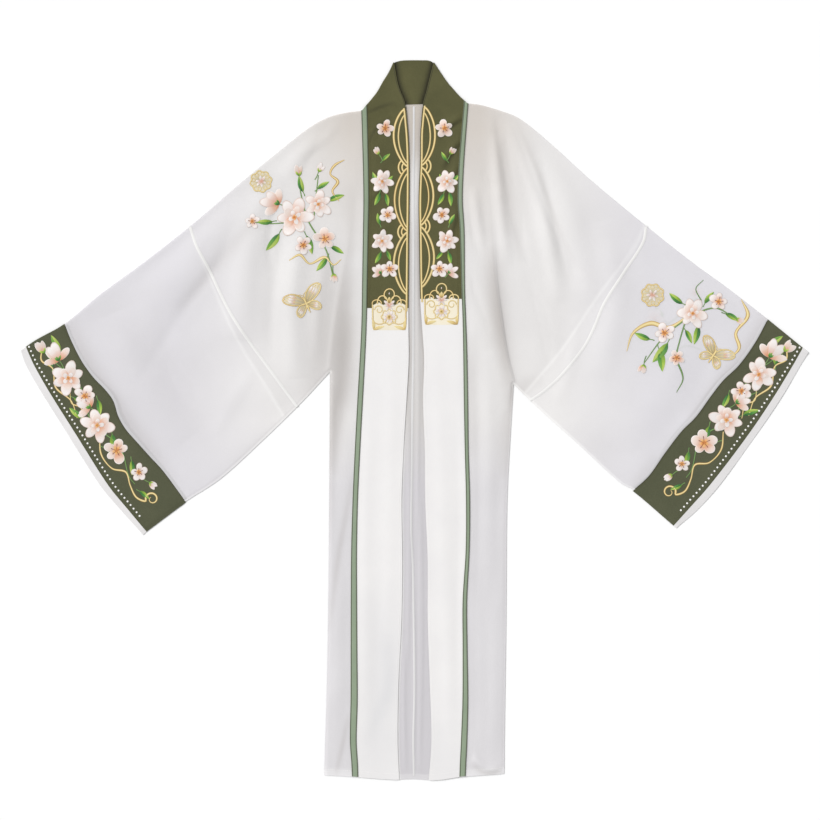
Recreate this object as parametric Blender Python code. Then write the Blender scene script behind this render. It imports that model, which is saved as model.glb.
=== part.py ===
"""Hanfu robe laid flat: an open-fronted outer robe in sheer cloth, with an olive collar, white front
bands and wide sleeves with olive cuffs.

+X runs from the left sleeve to the right one as seen from above, +Y from hem to collar, +Z up from the
surface it lies on. Every piece is a thin wall of cloth, made from a grid of points on the middle of the
wall. The tables give places on the laid-out robe in millimetres: `out` from its centre line, and `down`
from the top of its collar.
"""

from collections import namedtuple

import bpy
import numpy as np

MM = 0.001

# Driving dimensions, in millimetres
WALL = 1.2  # thickness of every panel
TRIM_WALL = 1.0  # thickness of the sage strip
SEAM = 0.3  # space between pieces at a seam
BACK_LEVEL = WALL / 2  # height of the middle of the back layer
FRONT_LEVEL = 2.2  # height of the middle of the front layer
EDGE_RISE = 0.8  # what a folded edge stands above that
EDGE_REACH = 14.0  # how far from a folded edge the cloth comes down
STRIPE_WIDTH = {-1: 11.0, 1: 9.0}  # sage strip and its two pipings, on each side
PIPING_WIDTH = 2.4
PIPING_HEIGHT = 1.6
OLIVE_END = {-1: 460.0, 1: 443.0}  # how far down the olive collar reaches on each side
CENTRE_BACK = -3.0  # place of the centre-back seam, along X
BACK_CUFF_SHIFT = 16.0  # how far the back of the cuff lies inside the front of it
BAND_LIFT = 0.8  # how far the free edges of the bands stand up
BAND_LIFT_SHARE = 1 / 3  # of the band's width, over which that dies away
EDGE_EASE = 24.0  # folds die away this near a folded edge
SEWN_EASE = 10.0  # and this near a sewn one
STRIPE_CLEAR = 3.0  # folds start this far outside the stripe
STRIPE_EASE = 12.0  # and reach their height over this much more
FOLD_TAPER = 0.6  # how bluntly a fold ends: lower is blunter
NECK_REACH = 120.0  # below the neckline, the back's rows become level over this height
HEM_REACH = 120.0  # above the hem, they begin to follow it
MIDDLE_DOWN = 667.27  # the robe's middle, below the top of the collar

# Rows of the grids, as shares of a piece's height
SLEEVE_ROWS = (0, .015, .045, .09, .15, .22, .30, .38, .46, .54, .62, .70, .78, .86, .93, .975, 1)
SKIRT_ROWS = (0, .06, .13, .20, .28, .36, .44, .52, .60, .68, .76, .84, .91, .965, 1)
EVERY_OTHER = slice(None, None, 2)
ROLL_TURNS = (60, 120)  # degrees round a folded edge
SMOOTH_UNDER = np.radians(50)

Mark = namedtuple("Mark", "out down")
Edge = namedtuple("Edge", "out left right")
Along = namedtuple("Along", "down left right")
Fold = namedtuple("Fold", "start middle end rise reach")
Pleat = namedtuple("Pleat", "plain folded height")

# The top edge of shoulder and sleeve: how far down it lies on each side
TOP_EDGE = (
    Edge(80, 74.5, 64.5), Edge(91, 86, 75), Edge(98, 93.5, 80.5), Edge(108, 96, 82.5), Edge(120, 97.5, 84.5),
    Edge(157, 106, 95), Edge(194, 125, 110), Edge(249, 167, 154), Edge(323, 228, 221), Edge(416, 308, 298),
    Edge(508, 380, 371), Edge(582, 434, 425),
    Edge(650, 490, 478), Edge(700, 518, 518), Edge(728.7, 537.4, 541),
)
# The lower edge of the sleeve, from the underarm to the mouth
LOWER_EDGE = {
    -1: (Mark(157, 578), Mark(212, 637), Mark(286, 709), Mark(360, 776), Mark(424, 818),
         Mark(497, 872), Mark(504, 877)),
    1: (Mark(183, 601), Mark(232, 648), Mark(306, 715), Mark(380, 783), Mark(405, 797),
        Mark(480, 861), Mark(485.5, 865)),
}
# The line from shoulder to underarm where the body's front folds over the sleeve
BODY_FOLD = {
    -1: (Mark(120, 97), Mark(116, 241), Mark(121.5, 334), Mark(132.5, 397), Mark(147, 491), Mark(157, 578)),
    1: (Mark(128, 85.3), Mark(137, 241), Mark(146.5, 397), Mark(156, 470), Mark(169, 550), Mark(183, 601)),
}
SIDE_EDGE = {
    -1: (Mark(157, 578), Mark(158, 780), Mark(160, 1000), Mark(162.5, 1148), Mark(167.7, 1323.7)),
    1: (Mark(183, 601), Mark(178.5, 670), Mark(171, 815), Mark(169, 1037), Mark(166, 1255),
        Mark(165.5, 1321)),
}
# The seam half way down the sleeve, in the front layer and in the back one
FRONT_SEAM = {
    -1: (Mark(416, 308), Mark(403, 346), Mark(382, 385), Mark(344.5, 467), Mark(330.5, 502), Mark(304, 537.5),
         Mark(264, 585), Mark(217.5, 642.6)),
    1: (Mark(428, 307.5), Mark(422, 339), Mark(386, 395), Mark(350, 451.5), Mark(331.5, 496), Mark(311.5, 534),
        Mark(269, 586), Mark(234, 617), Mark(213, 630.6)),
}
BACK_SEAM = {
    -1: (Mark(416, 308), Mark(399, 354), Mark(351, 471), Mark(318, 536), Mark(279, 598), Mark(240, 664)),
    1: (Mark(426, 306), Mark(405, 349), Mark(339, 438), Mark(275, 533), Mark(226, 592), Mark(202, 620)),
}
CUFF_INNER = {
    -1: (Mark(648, 488.7), Mark(637, 517), Mark(617, 557), Mark(595, 588), Mark(571, 613), Mark(557, 633),
         Mark(549, 659), Mark(535, 684), Mark(515, 707), Mark(490, 735), Mark(466, 761), Mark(424, 818)),
    1: (Mark(653.5, 480.6), Mark(630, 524), Mark(600, 566), Mark(571, 594), Mark(549, 622), Mark(520, 662),
        Mark(494, 688), Mark(462, 730), Mark(434, 770), Mark(405, 797)),
}
CUFF_OUTER = {
    -1: (Mark(719, 531), Mark(704, 565), Mark(672, 621), Mark(626, 694), Mark(567, 787), Mark(528, 835),
         Mark(497, 872)),
    1: (Mark(718, 533), Mark(700, 565), Mark(666, 621), Mark(617, 694), Mark(547, 786), Mark(508, 830),
        Mark(480, 861)),
}
LINING_END = {
    -1: (Mark(728.6, 537.4), Mark(719, 565), Mark(687, 621), Mark(641, 694), Mark(582, 787), Mark(542, 835),
         Mark(504, 877)),
    1: (Mark(728.7, 541), Mark(714, 565), Mark(681, 621), Mark(632, 694), Mark(564, 787), Mark(522, 834),
        Mark(485.5, 865)),
}
# Outer edge of the sage strip, and the free edge of collar and band
STRIPE_EDGE = (
    Along(82, 96, 97.5), Along(167, 95.6, 93), Along(260, 95.6, 90), Along(352, 96.5, 92),
    Along(445, 98.5, 95), Along(630, 103, 99.6), Along(722, 110.5, 102), Along(815, 116.5, 102.5),
    Along(926, 118, 102.5), Along(1037, 118.7, 99.6), Along(1166, 118.7, 98.7), Along(1260, 120.3, 97),
    Along(1330, 119.6, 95.5),
)
FREE_EDGE = (
    Along(82, 18, 16), Along(130, 12.3, 10.8), Along(186, 9.6, 9.9), Along(260, 9.6, 7.2),
    Along(334, 10.5, 8.2), Along(437, 11.4, 10), Along(500, 11.4, 14.2), Along(556, 11, 17.5),
    Along(630, 15.1, 15.5), Along(722, 20.6, 18.8), Along(815, 24.2, 19.6), Along(926, 22.8, 24),
    Along(1037, 24.4, 24.2), Along(1148, 29.8, 27.8), Along(1259, 31.5, 31), Along(1333, 28.5, 26),
)
# The collar above the shoulders: its folded edge, its free edge in front, and its back
COLLAR_FOLD = {
    -1: (Mark(91, 86), Mark(80.8, 74.5), Mark(69.6, 60), Mark(58.6, 40.7), Mark(48, 23.5), Mark(39.5, 5.6)),
    1: (Mark(91, 75), Mark(83.9, 68.5), Mark(72.8, 56.5), Mark(59.8, 41), Mark(46.8, 22), Mark(36, 5.6)),
}
COLLAR_FREE = {
    -1: (Mark(12.3, 130), Mark(18, 82), Mark(28.6, 55), Mark(33.6, 38), Mark(39.5, 5.6)),
    1: (Mark(10.8, 130), Mark(16, 82), Mark(22.3, 59), Mark(29.5, 31), Mark(36, 5.6)),
}
COLLAR_BACK_TOP = (
    Mark(-39.5, 5.6), Mark(-26, 2.4), Mark(-12, 1.6), Mark(14, 1.6), Mark(28, 2.2), Mark(36, 5.6),
)
HEM = {-1: (Mark(3, 1331), Mark(40, 1332), Mark(120, 1326.5), Mark(167.7, 1323.7)),
       1: (Mark(-3, 1331), Mark(40, 1333), Mark(84, 1327), Mark(165.5, 1321))}
FAN_LINES = 4  # lines between the level part of the collar and its folded edge
# The seam of the collar round the back of the neck: its bend, and where the collar's lines meet it, along X
NECK_BEND = Mark(-40, 84.5)
NECK_PLACES = (-65, -40, -12, 16, 44, 68)
BACK_PLACE = 40  # place across the back where its neckline bends

# The largest folds of the front layer, each a soft ridge
FOLDS = {
    -1: (
        Fold(Mark(335, 262), Mark(388, 360), Mark(452, 462), 5.0, 24),
        Fold(Mark(266, 232), Mark(308, 368), Mark(322, 520), 7.0, 30),
        Fold(Mark(205, 290), Mark(226, 440), Mark(222, 590), 5.0, 20),
        Fold(Mark(180, 128), Mark(208, 168), Mark(240, 222), 3.6, 20),
        Fold(Mark(129, 500), Mark(143, 690), Mark(148, 900), 4.0, 11),
        Fold(Mark(555, 470), Mark(500, 600), Mark(420, 700), 3.4, 34),
        Fold(Mark(139, 900), Mark(143, 1110), Mark(146, 1318), 2.4, 12),
    ),
    1: (
        Fold(Mark(180, 128), Mark(203, 262), Mark(243, 500), 7.5, 18),
        Fold(Mark(150, 140), Mark(158, 260), Mark(172, 380), 4.5, 12),
        Fold(Mark(250, 170), Mark(292, 300), Mark(330, 450), 6.5, 24),
        Fold(Mark(345, 300), Mark(372, 430), Mark(345, 590), 4.0, 26),
        Fold(Mark(109, 235), Mark(116, 290), Mark(126, 350), 3.2, 9),
        Fold(Mark(133, 500), Mark(139, 740), Mark(136, 990), 3.6, 13),
        Fold(Mark(106, 1290), Mark(132, 1310), Mark(160, 1312), 3.2, 8),
        Fold(Mark(150, 1000), Mark(147, 1180), Mark(143, 1316), 2.4, 12),
        Fold(Mark(520, 450), Mark(460, 620), Mark(380, 720), 3.4, 34),
    ),
}
# Section across the fold of the body over the sleeve, from the body outwards
BODY_PLEAT = (Pleat(-30, -30, 0.4), Pleat(-16, -16, 2.8), Pleat(-6, -6, 5.6), Pleat(0, 0, 6.6))
SLEEVE_PLEAT = (
    Pleat(4, 3.2, 5.2), Pleat(8, 3.8, 3.4), Pleat(12, 3.2, 1.5), Pleat(17, 6.5, 0.3), Pleat(23, 14, 0),
)
PLEAT_STRENGTH = (Mark(0, 0), Mark(230, 0), Mark(330, .35), Mark(400, .8), Mark(490, 1), Mark(545, .85),
                  Mark(575, .5), Mark(601, .3), Mark(660, 0), Mark(1400, 0))
NARROW_BODY = 70.0  # a body front narrower than this has its pleat squeezed to suit
SLEEVE_COLUMNS = 11  # between the pleat and the seam half way down the sleeve
LOWER_SLEEVE_COLUMNS = 12
CUFF_COLUMNS = 4
BAND_COLUMNS = 5
LEAST_ROW = 8.0  # rows of collar and band this close to an end are left out
TRIM_INSET = 1.0  # how far below the shoulder's edge the trim starts
SIDES = {-1: "left", 1: "right"}
FINE = 60  # points along a row before its columns are placed
FLAT_COLUMNS = 3  # between the stripe and the pleat
FLAT_SHARES = np.arange(FLAT_COLUMNS) / FLAT_COLUMNS
BODY_COLUMNS = FLAT_COLUMNS + len(BODY_PLEAT)
LEAST_PLEAT = 0.55  # share of its height that a squeezed pleat keeps at least


class Path:
    """A smooth line through a table's marks, measured along its length."""

    def __init__(self, marks, fine=12):
        knots = np.array(marks, float)
        ends = np.vstack([2 * knots[0] - knots[1], knots, 2 * knots[-1] - knots[-2]])
        shares = np.linspace(0, 1, fine, endpoint=False)[:, None]
        runs = []
        for a, b, c, d in zip(ends, ends[1:], ends[2:], ends[3:]):
            span = np.linalg.norm(c - b)
            leave = (c - a) * span / (span + np.linalg.norm(b - a))
            arrive = (d - b) * span / (span + np.linalg.norm(d - c))
            s, s2, s3 = shares, shares**2, shares**3
            runs.append((2 * s3 - 3 * s2 + 1) * b + (s3 - 2 * s2 + s) * leave
                        + (3 * s2 - 2 * s3) * c + (s3 - s2) * arrive)
        self.points = np.vstack(runs + [knots[-1:]])
        steps = np.linalg.norm(np.diff(self.points, axis=0), axis=1)
        self.reached = np.concatenate([[0], np.cumsum(steps)])
        self.length = self.reached[-1]

    def at_distance(self, distance):
        distance = np.asarray(distance, float)
        return np.stack([np.interp(distance, self.reached, self.points[:, k]) for k in (0, 1)], axis=-1)

    def at(self, share):
        return self.at_distance(np.asarray(share, float) * self.length)

    def where_out(self, out):
        return float(np.interp(out, self.points[:, 0], self.reached))

    def between(self, out_from, out_to, shares):
        start, end = self.where_out(out_from), self.where_out(out_to)
        return self.at_distance(start + (end - start) * np.asarray(shares, float))

    def normals(self, points):
        """Unit vectors square to the path at the nearest place, turned up towards the collar."""
        nearest = np.argmin(np.linalg.norm(points[:, None] - self.points[None], axis=2), axis=1)
        before, after = np.maximum(nearest - 1, 0), np.minimum(nearest + 1, len(self.points) - 1)
        along = self.points[after] - self.points[before]
        along /= np.linalg.norm(along, axis=1)[:, None]
        square = np.stack([along[:, 1], -along[:, 0]], axis=1)
        return np.where(square[:, 1:] > 0, -square, square)

    def moved(self, distance):
        """The same path moved outwards, square to itself."""
        along = np.gradient(self.points, axis=0)
        along /= np.linalg.norm(along, axis=1)[:, None]
        square = np.stack([along[:, 1], -along[:, 0]], axis=1)
        square = np.where(square[:, :1] < 0, -square, square)
        return Path(self.points + square * distance, fine=1)

    def distance_to(self, points):
        """How far each point lies from the path, and the share of the path's length at its nearest place."""
        starts, steps = self.points[:-1], np.diff(self.points, axis=0)
        offsets = points[..., None, :] - starts
        shares = np.clip((offsets * steps).sum(-1) / np.maximum((steps**2).sum(-1), 1e-9), 0, 1)
        gaps = np.linalg.norm(offsets - shares[..., None] * steps, axis=-1)
        nearest = gaps.argmin(-1)
        gap = np.take_along_axis(gaps, nearest[..., None], -1)[..., 0]
        share = np.take_along_axis(shares, nearest[..., None], -1)[..., 0]
        lengths = np.diff(self.reached)
        return gap, (self.reached[nearest] + share * lengths[nearest]) / self.length


def column_of(table, side):
    """One side's path from a table with a column for each side."""
    return Path([(getattr(row, SIDES[side]), row.down) for row in table])


def out_at(path, down):
    return np.interp(down, path.points[:, 1], path.points[:, 0])


def coons_row(top, bottom, left, right, across, share):
    """The row of a four-sided patch at this share of its height, from its four edges."""
    u = across[:, None]
    blend = (1 - share) * top + share * bottom + (1 - u) * left + u * right
    corners = ((1 - u) * (1 - share) * top[0] + u * (1 - share) * top[-1]
               + (1 - u) * share * bottom[0] + u * share * bottom[-1])
    return blend - corners


def spaced(row, distances):
    """Points at these distances along a finely divided row."""
    steps = np.linalg.norm(np.diff(row, axis=0), axis=1)
    reached = np.concatenate([[0], np.cumsum(steps)])
    return np.stack([np.interp(distances, reached, row[:, k]) for k in (0, 1)], axis=-1), reached[-1]


class Outline:
    """The paths of one side of the robe, and the height of its front layer."""

    def __init__(self, side):
        self.side = side
        self.top = Path([(row.out, getattr(row, SIDES[side])) for row in TOP_EDGE])
        self.lower = Path(LOWER_EDGE[side])
        self.fold = Path(BODY_FOLD[side])
        self.side_edge = Path(SIDE_EDGE[side])
        self.stripe = column_of(STRIPE_EDGE, side)
        self.free = column_of(FREE_EDGE, side)
        self.collar_fold = Path(COLLAR_FOLD[side])
        self.hem = Path(HEM[side])
        shoulder = self.top.at_distance([self.top.where_out(self.seam_out(self.top.points[0, 1]))])
        self.neck_down = shoulder[0, 1]
        corner, self.shoulder_up = inset(self.top, shoulder)
        self.shoulder = corner[0]
        self.folds = [(Path((fold.start, fold.middle, fold.end)), fold) for fold in FOLDS[side]]

    def seam_out(self, down):
        """Where the front meets the band: under the middle of the sage strip."""
        return out_at(self.stripe, down) - STRIPE_WIDTH[self.side] / 2

    def hem_down(self, out):
        return np.interp(out, self.hem.points[:, 0], self.hem.points[:, 1])

    def edge_down(self, out):
        """How far down the folded edge of collar and shoulder lies at this distance out."""
        fold = self.collar_fold.points[::-1]
        beyond = np.interp(out, self.top.points[:, 0], self.top.points[:, 1])
        return np.where(out < fold[-1, 0], np.interp(out, fold[:, 0], fold[:, 1]), beyond)

    def front_downs(self):
        """How far down each row of the front crosses the seam with the band."""
        fold = self.fold.at(SLEEVE_ROWS)[:, 1]
        upper = self.neck_down + (fold - fold[0]) * (fold[-1] - self.neck_down) / (fold[-1] - fold[0])
        hem = self.hem_down(self.seam_out(self.hem.points[0, 1]))
        return upper, upper[-1] + np.array(SKIRT_ROWS) * (hem - upper[-1])

    def level(self, points):
        """Height of the middle of the front layer at these places."""
        edge_gap = np.minimum(self.top.distance_to(points)[0], self.collar_fold.distance_to(points)[0])
        sewn_gap = np.minimum(self.lower.distance_to(points)[0], self.side_edge.distance_to(points)[0])
        ease = (1 - np.exp(-((edge_gap / EDGE_EASE) ** 2))) * (1 - np.exp(-((sewn_gap / SEWN_EASE) ** 2)))
        height = FRONT_LEVEL + EDGE_RISE * np.exp(-((edge_gap / EDGE_REACH) ** 2))
        beside = points[..., 0] - out_at(self.stripe, points[..., 1])
        ease = ease * np.clip((beside - STRIPE_CLEAR) / STRIPE_EASE, 0, 1)
        for path, fold in self.folds:
            gap, share = path.distance_to(points)
            fade = np.sin(np.pi * np.clip(share, 0, 1)) ** FOLD_TAPER
            height = height + ease * fold.rise * fade * np.exp(-((gap / fold.reach) ** 2))
        return height


def lifted(points, heights):
    """Places on the robe given a height, as an array of (out, down, height)."""
    return np.concatenate([points, np.broadcast_to(heights, points.shape[:-1])[..., None]], axis=-1)


def rolled(edge_row, outward):
    """The rows that take the cloth round a folded edge, from the front layer to the back one."""
    top = FRONT_LEVEL + EDGE_RISE
    middle, radius = (top + BACK_LEVEL) / 2, (top - BACK_LEVEL) / 2
    rows = []
    for turn in np.radians(ROLL_TURNS):
        rows.append(lifted(edge_row + outward * radius * np.sin(turn), middle + radius * np.cos(turn)))
    return rows


def inset(path, points):
    """An edge row drawn in, so that the roll of the cloth ends on the edge itself."""
    outward = path.normals(points)
    reach = (FRONT_LEVEL + EDGE_RISE - BACK_LEVEL) / 2 + WALL / 2
    return points - outward * reach, outward


class Cloth:
    """A sheet made of grids whose shared edges are joined, thickened into one closed wall."""

    def __init__(self, side=1):
        self.side = side
        self.index = {}
        self.points = []
        self.quads = []

    def corner(self, point):
        key = tuple(np.round(point, 4))
        if key not in self.index:
            self.index[key] = len(self.points)
            self.points.append(point)
        return self.index[key]

    def grid(self, rows):
        """Rows that run outwards, listed from the hem upwards in front and downwards behind."""
        ids = [[self.corner(point) for point in row] for row in rows]
        for low, high in zip(ids, ids[1:]):
            for a, b, c, d in zip(low, low[1:], high[1:], high):
                ring = [k for n, k in enumerate((a, b, c, d)) if k not in (a, b, c, d)[:n]]
                if len(ring) > 2:
                    self.quads.append(ring if self.side > 0 else ring[::-1])

    def walls(self, wall):
        """Points and faces of the closed wall, in metres."""
        middle = np.array(self.points)
        middle = np.stack([self.side * middle[:, 0], MIDDLE_DOWN - middle[:, 1], middle[:, 2]], axis=1)
        normals = np.zeros_like(middle)
        for quad in self.quads:
            ring = middle[quad]
            normals[quad] += np.cross(ring, np.roll(ring, -1, axis=0)).sum(axis=0)
        normals /= np.linalg.norm(normals, axis=1)[:, None]
        points = np.vstack([middle + normals * wall / 2, middle - normals * wall / 2]) * MM
        count = len(middle)
        faces = list(self.quads) + [[k + count for k in reversed(quad)] for quad in self.quads]
        edges = {(a, b) for quad in self.quads for a, b in zip(quad, quad[1:] + quad[:1])}
        faces += [[b, a, a + count, b + count] for a, b in edges if (b, a) not in edges]
        return points, sorted(faces)


def finish(name, points, faces, colour, roughness):
    """One named object with its own material."""
    mesh = bpy.data.meshes.new(name)
    mesh.from_pydata([tuple(point) for point in points], [], faces)
    mesh.validate()
    material = bpy.data.materials.new(name)
    material.use_nodes = True
    shader = material.node_tree.nodes["Principled BSDF"]
    shader.inputs["Base Color"].default_value = (*colour, 1)
    shader.inputs["Roughness"].default_value = roughness
    shader.inputs["Metallic"].default_value = 0
    mesh.materials.append(material)
    mesh.shade_smooth()
    mesh.set_sharp_from_angle(angle=SMOOTH_UNDER)
    bpy.context.collection.objects.link(bpy.data.objects.new(name, mesh))


SHEER = (0.74, 0.73, 0.75)
SATIN = (0.87, 0.86, 0.85)
OLIVE = (0.13, 0.12, 0.05)
SAGE = (0.30, 0.37, 0.26)
PIPING = (0.13, 0.17, 0.10)


def body_rows(outline, seam, fold_strength):
    """The grid of a body half down to the underarm: places, and the pleat's share of height."""
    fine = np.linspace(0, 1, FINE)
    seam_top, seam_foot = seam.points[0, 0], seam.points[-1, 0]
    upper, _ = outline.front_downs()
    top_body = outline.top.between(outline.seam_out(upper[0]), outline.fold.points[0, 0], fine)
    top_sleeve = outline.top.between(outline.fold.points[0, 0], seam_top, fine)
    foot = outline.lower.between(outline.lower.points[0, 0], seam_foot, fine)
    rows, heights = [], []
    for share, down, turn, far in zip(
        SLEEVE_ROWS, upper, outline.fold.at(SLEEVE_ROWS), seam.at(SLEEVE_ROWS)
    ):
        strength = float(np.interp(turn[1], *np.array(PLEAT_STRENGTH).T)) if fold_strength else 0.0
        inner = np.array([outline.seam_out(down), down])
        bow = top_body - (top_body[0] + (top_body[-1] - top_body[0]) * fine[:, None])
        body = inner + (turn - inner) * fine[:, None] + (1 - share) * bow
        sleeve = coons_row(top_sleeve, foot, turn, far, fine, share)
        _, width = spaced(body, [0])
        squeeze = min(1, width / NARROW_BODY)
        near = [width + squeeze * (p.plain + (p.folded - p.plain) * strength) for p in BODY_PLEAT]
        body_points, _ = spaced(body, [*near[0] * FLAT_SHARES, *near])
        _, width = spaced(sleeve, [0])
        away = [p.plain + (p.folded - p.plain) * strength for p in SLEEVE_PLEAT]
        rest = away[-1] + (width - away[-1]) * np.arange(1, SLEEVE_COLUMNS + 1) / SLEEVE_COLUMNS
        sleeve_points, _ = spaced(sleeve, [*away, *rest])
        rows.append(np.vstack([body_points, sleeve_points]))
        pleat = [0] * FLAT_COLUMNS + [p.height for p in BODY_PLEAT + SLEEVE_PLEAT] + [0] * SLEEVE_COLUMNS
        heights.append(np.array(pleat) * strength * (LEAST_PLEAT + (1 - LEAST_PLEAT) * squeeze))
    return rows, heights


def skirt_rows(outline):
    """Rows below the underarm, from the band's seam to the side seam."""
    _, downs = outline.front_downs()
    rows = []
    for share, down in zip(SKIRT_ROWS, downs):
        edge = outline.side_edge.at(share)
        inner = np.array([outline.seam_out(down), down])
        line = inner + (edge - inner) * np.linspace(0, 1, FINE)[:, None]
        _, width = spaced(line, [0])
        squeeze = min(1, width / NARROW_BODY)
        near = [width + squeeze * p.plain for p in BODY_PLEAT]
        rows.append(spaced(line, [*near[0] * FLAT_SHARES, *near])[0])
    return rows


def make_body(side, outline, neckline):
    cloth = Cloth(side)
    rows, pleats = body_rows(outline, Path(FRONT_SEAM[side]), True)
    back, _ = body_rows(outline, Path(BACK_SEAM[side]), False)
    edge, outward = inset(outline.top, rows[0])
    front = [lifted(edge, FRONT_LEVEL + EDGE_RISE)]
    front += [lifted(row, outline.level(row) + pleat) for row, pleat in zip(rows[1:], pleats[1:])]
    behind = [lifted(edge, BACK_LEVEL)] + [lifted(row, BACK_LEVEL) for row in back[EVERY_OTHER][1:]]
    cloth.grid(front[::-1] + rolled(edge, outward) + behind)
    skirt = skirt_rows(outline)
    drop = np.interp([row[-1][1] for row in skirt], *np.array(PLEAT_STRENGTH).T)
    front_skirt = [front[-1][:BODY_COLUMNS]]
    for row, strength in zip(skirt[1:], drop[1:]):
        pleat = np.array([0] * FLAT_COLUMNS + [p.height for p in BODY_PLEAT]) * strength
        front_skirt.append(lifted(row, outline.level(row) + pleat))
    cloth.grid(front_skirt[::-1])
    back_skirt = [behind[-1][:BODY_COLUMNS]] + [lifted(row, BACK_LEVEL) for row in skirt[EVERY_OTHER][1:]]
    cloth.grid(back_skirt)
    inner = [row[0] for row in behind] + [row[0] for row in back_skirt[1:]]
    centre = side * CENTRE_BACK + SEAM / 2
    cloth.grid([back_to_centre(outline, point, centre, neckline) for point in inner])
    finish(f"body_{SIDES[side]}", *cloth.walls(WALL), SHEER, 0.7)


def neck_line(outlines):
    """The back of the neckline from shoulder to shoulder, as places along X and how far down each lies."""
    (left_out, left_down), (right_out, right_down) = (outlines[side].shoulder for side in SIDES)
    return np.array([(-left_out, left_down), NECK_BEND, (right_out, right_down)]).T


def back_to_centre(outline, point, centre, neckline):
    """A row of the back from the centre-back seam to where the front's seam lies above it."""
    bend = (BACK_PLACE - centre) / (outline.shoulder[0] - centre)
    outs = centre + (point[0] - centre) * np.array([0, bend, (1 + bend) / 2, 1])
    neck = np.interp(outline.side * outs, *neckline)
    below_neck = np.clip((point[1] - outline.neck_down) / NECK_REACH, 0, 1)
    hem = outline.hem_down(outs)
    near_hem = np.clip(1 - (hem[-1] - point[1]) / HEM_REACH, 0, 1)
    downs = point[1] + (1 - below_neck) * (neck - neck[-1]) + near_hem * (hem - hem[-1])
    row = np.stack([outs, downs, np.full_like(outs, BACK_LEVEL)], axis=1)
    row[-1] = point
    return row


def make_tube(side, outline, name, paths, columns, colour, roughness):
    """A folded tube between two lines across the sleeve, with its own lines for front and back."""
    cloth = Cloth(side)
    across = np.linspace(0, 1, columns + 1)
    layers = []
    for near, far in paths:
        top = outline.top.between(near.points[0, 0], far.points[0, 0], across)
        foot = outline.lower.between(near.points[-1, 0], far.points[-1, 0], across)
        layers.append([coons_row(top, foot, a, b, across, share)
                       for share, a, b in zip(SLEEVE_ROWS, near.at(SLEEVE_ROWS), far.at(SLEEVE_ROWS))])
    rows, back = layers
    edge, outward = inset(outline.top, rows[0])
    front = [lifted(edge, FRONT_LEVEL + EDGE_RISE)] + [lifted(row, outline.level(row)) for row in rows[1:]]
    behind = [lifted(edge, BACK_LEVEL)] + [lifted(row, BACK_LEVEL) for row in back[EVERY_OTHER][1:]]
    cloth.grid(front[::-1] + rolled(edge, outward) + behind)
    finish(f"{name}_{SIDES[side]}", *cloth.walls(WALL), colour, roughness)


def shifted_in(path, most):
    """The line moved towards the body by up to this much half way down, and not at its ends."""
    towards = np.array([most, most / 2])
    marks = [path.at(share) - towards * np.sin(np.pi * share) for share in np.linspace(0, 1, 13)]
    marks[0], marks[-1] = path.points[0], path.points[-1]
    return Path(marks)


def make_sleeve(side, outline):
    front_seam, back_seam = Path(FRONT_SEAM[side]), Path(BACK_SEAM[side])
    cuff_inner, cuff_outer = Path(CUFF_INNER[side]), Path(CUFF_OUTER[side])
    cuff_back, lining_end = shifted_in(cuff_inner, BACK_CUFF_SHIFT), Path(LINING_END[side])
    sleeve = ((front_seam.moved(SEAM), cuff_inner), (back_seam.moved(SEAM), cuff_back))
    cuff = ((cuff_inner.moved(SEAM), cuff_outer), (cuff_back.moved(SEAM), cuff_outer))
    lining = (cuff_outer.moved(SEAM), lining_end)
    make_tube(side, outline, "sleeve", sleeve, LOWER_SLEEVE_COLUMNS, SHEER, 0.7)
    make_tube(side, outline, "cuff", cuff, CUFF_COLUMNS, OLIVE, 0.8)
    make_tube(side, outline, "cuff_lining", (lining, lining), 1, SATIN, 0.6)


def strip_rows(outline, downs, inner, outer, columns):
    """Level rows between two lines down the front."""
    rows = []
    for down in downs:
        outs = inner(down) + (outer(down) - inner(down)) * np.linspace(0, 1, columns + 1)
        rows.append(np.stack([outs, np.full(columns + 1, down)], axis=1))
    return rows


def band_lift(columns):
    """The rise towards a band's free edge, its first column."""
    return BAND_LIFT * np.clip(1 - np.linspace(0, 1, columns + 1) / BAND_LIFT_SHARE, 0, 1)


def front_edge_downs(outline):
    upper, lower = outline.front_downs()
    return np.concatenate([upper, lower[1:]])


def band_side(outline):
    """The free edge and the seam edge of collar and band, as functions of the distance down."""
    return (lambda down: out_at(outline.free, down)), (lambda down: outline.seam_out(down) - SEAM)


def make_band(side, outline):
    downs = front_edge_downs(outline)
    end = OLIVE_END[side] + SEAM
    rows = strip_rows(outline, [end, *downs[downs > end + LEAST_ROW]], *band_side(outline), BAND_COLUMNS)
    rows[-1][:, 1] = outline.hem_down(rows[-1][:, 0])
    cloth = Cloth(side)
    cloth.grid([lifted(row, outline.level(row) + band_lift(BAND_COLUMNS)) for row in rows][::-1])
    finish(f"front_band_{SIDES[side]}", *cloth.walls(WALL), SATIN, 0.45)


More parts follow.
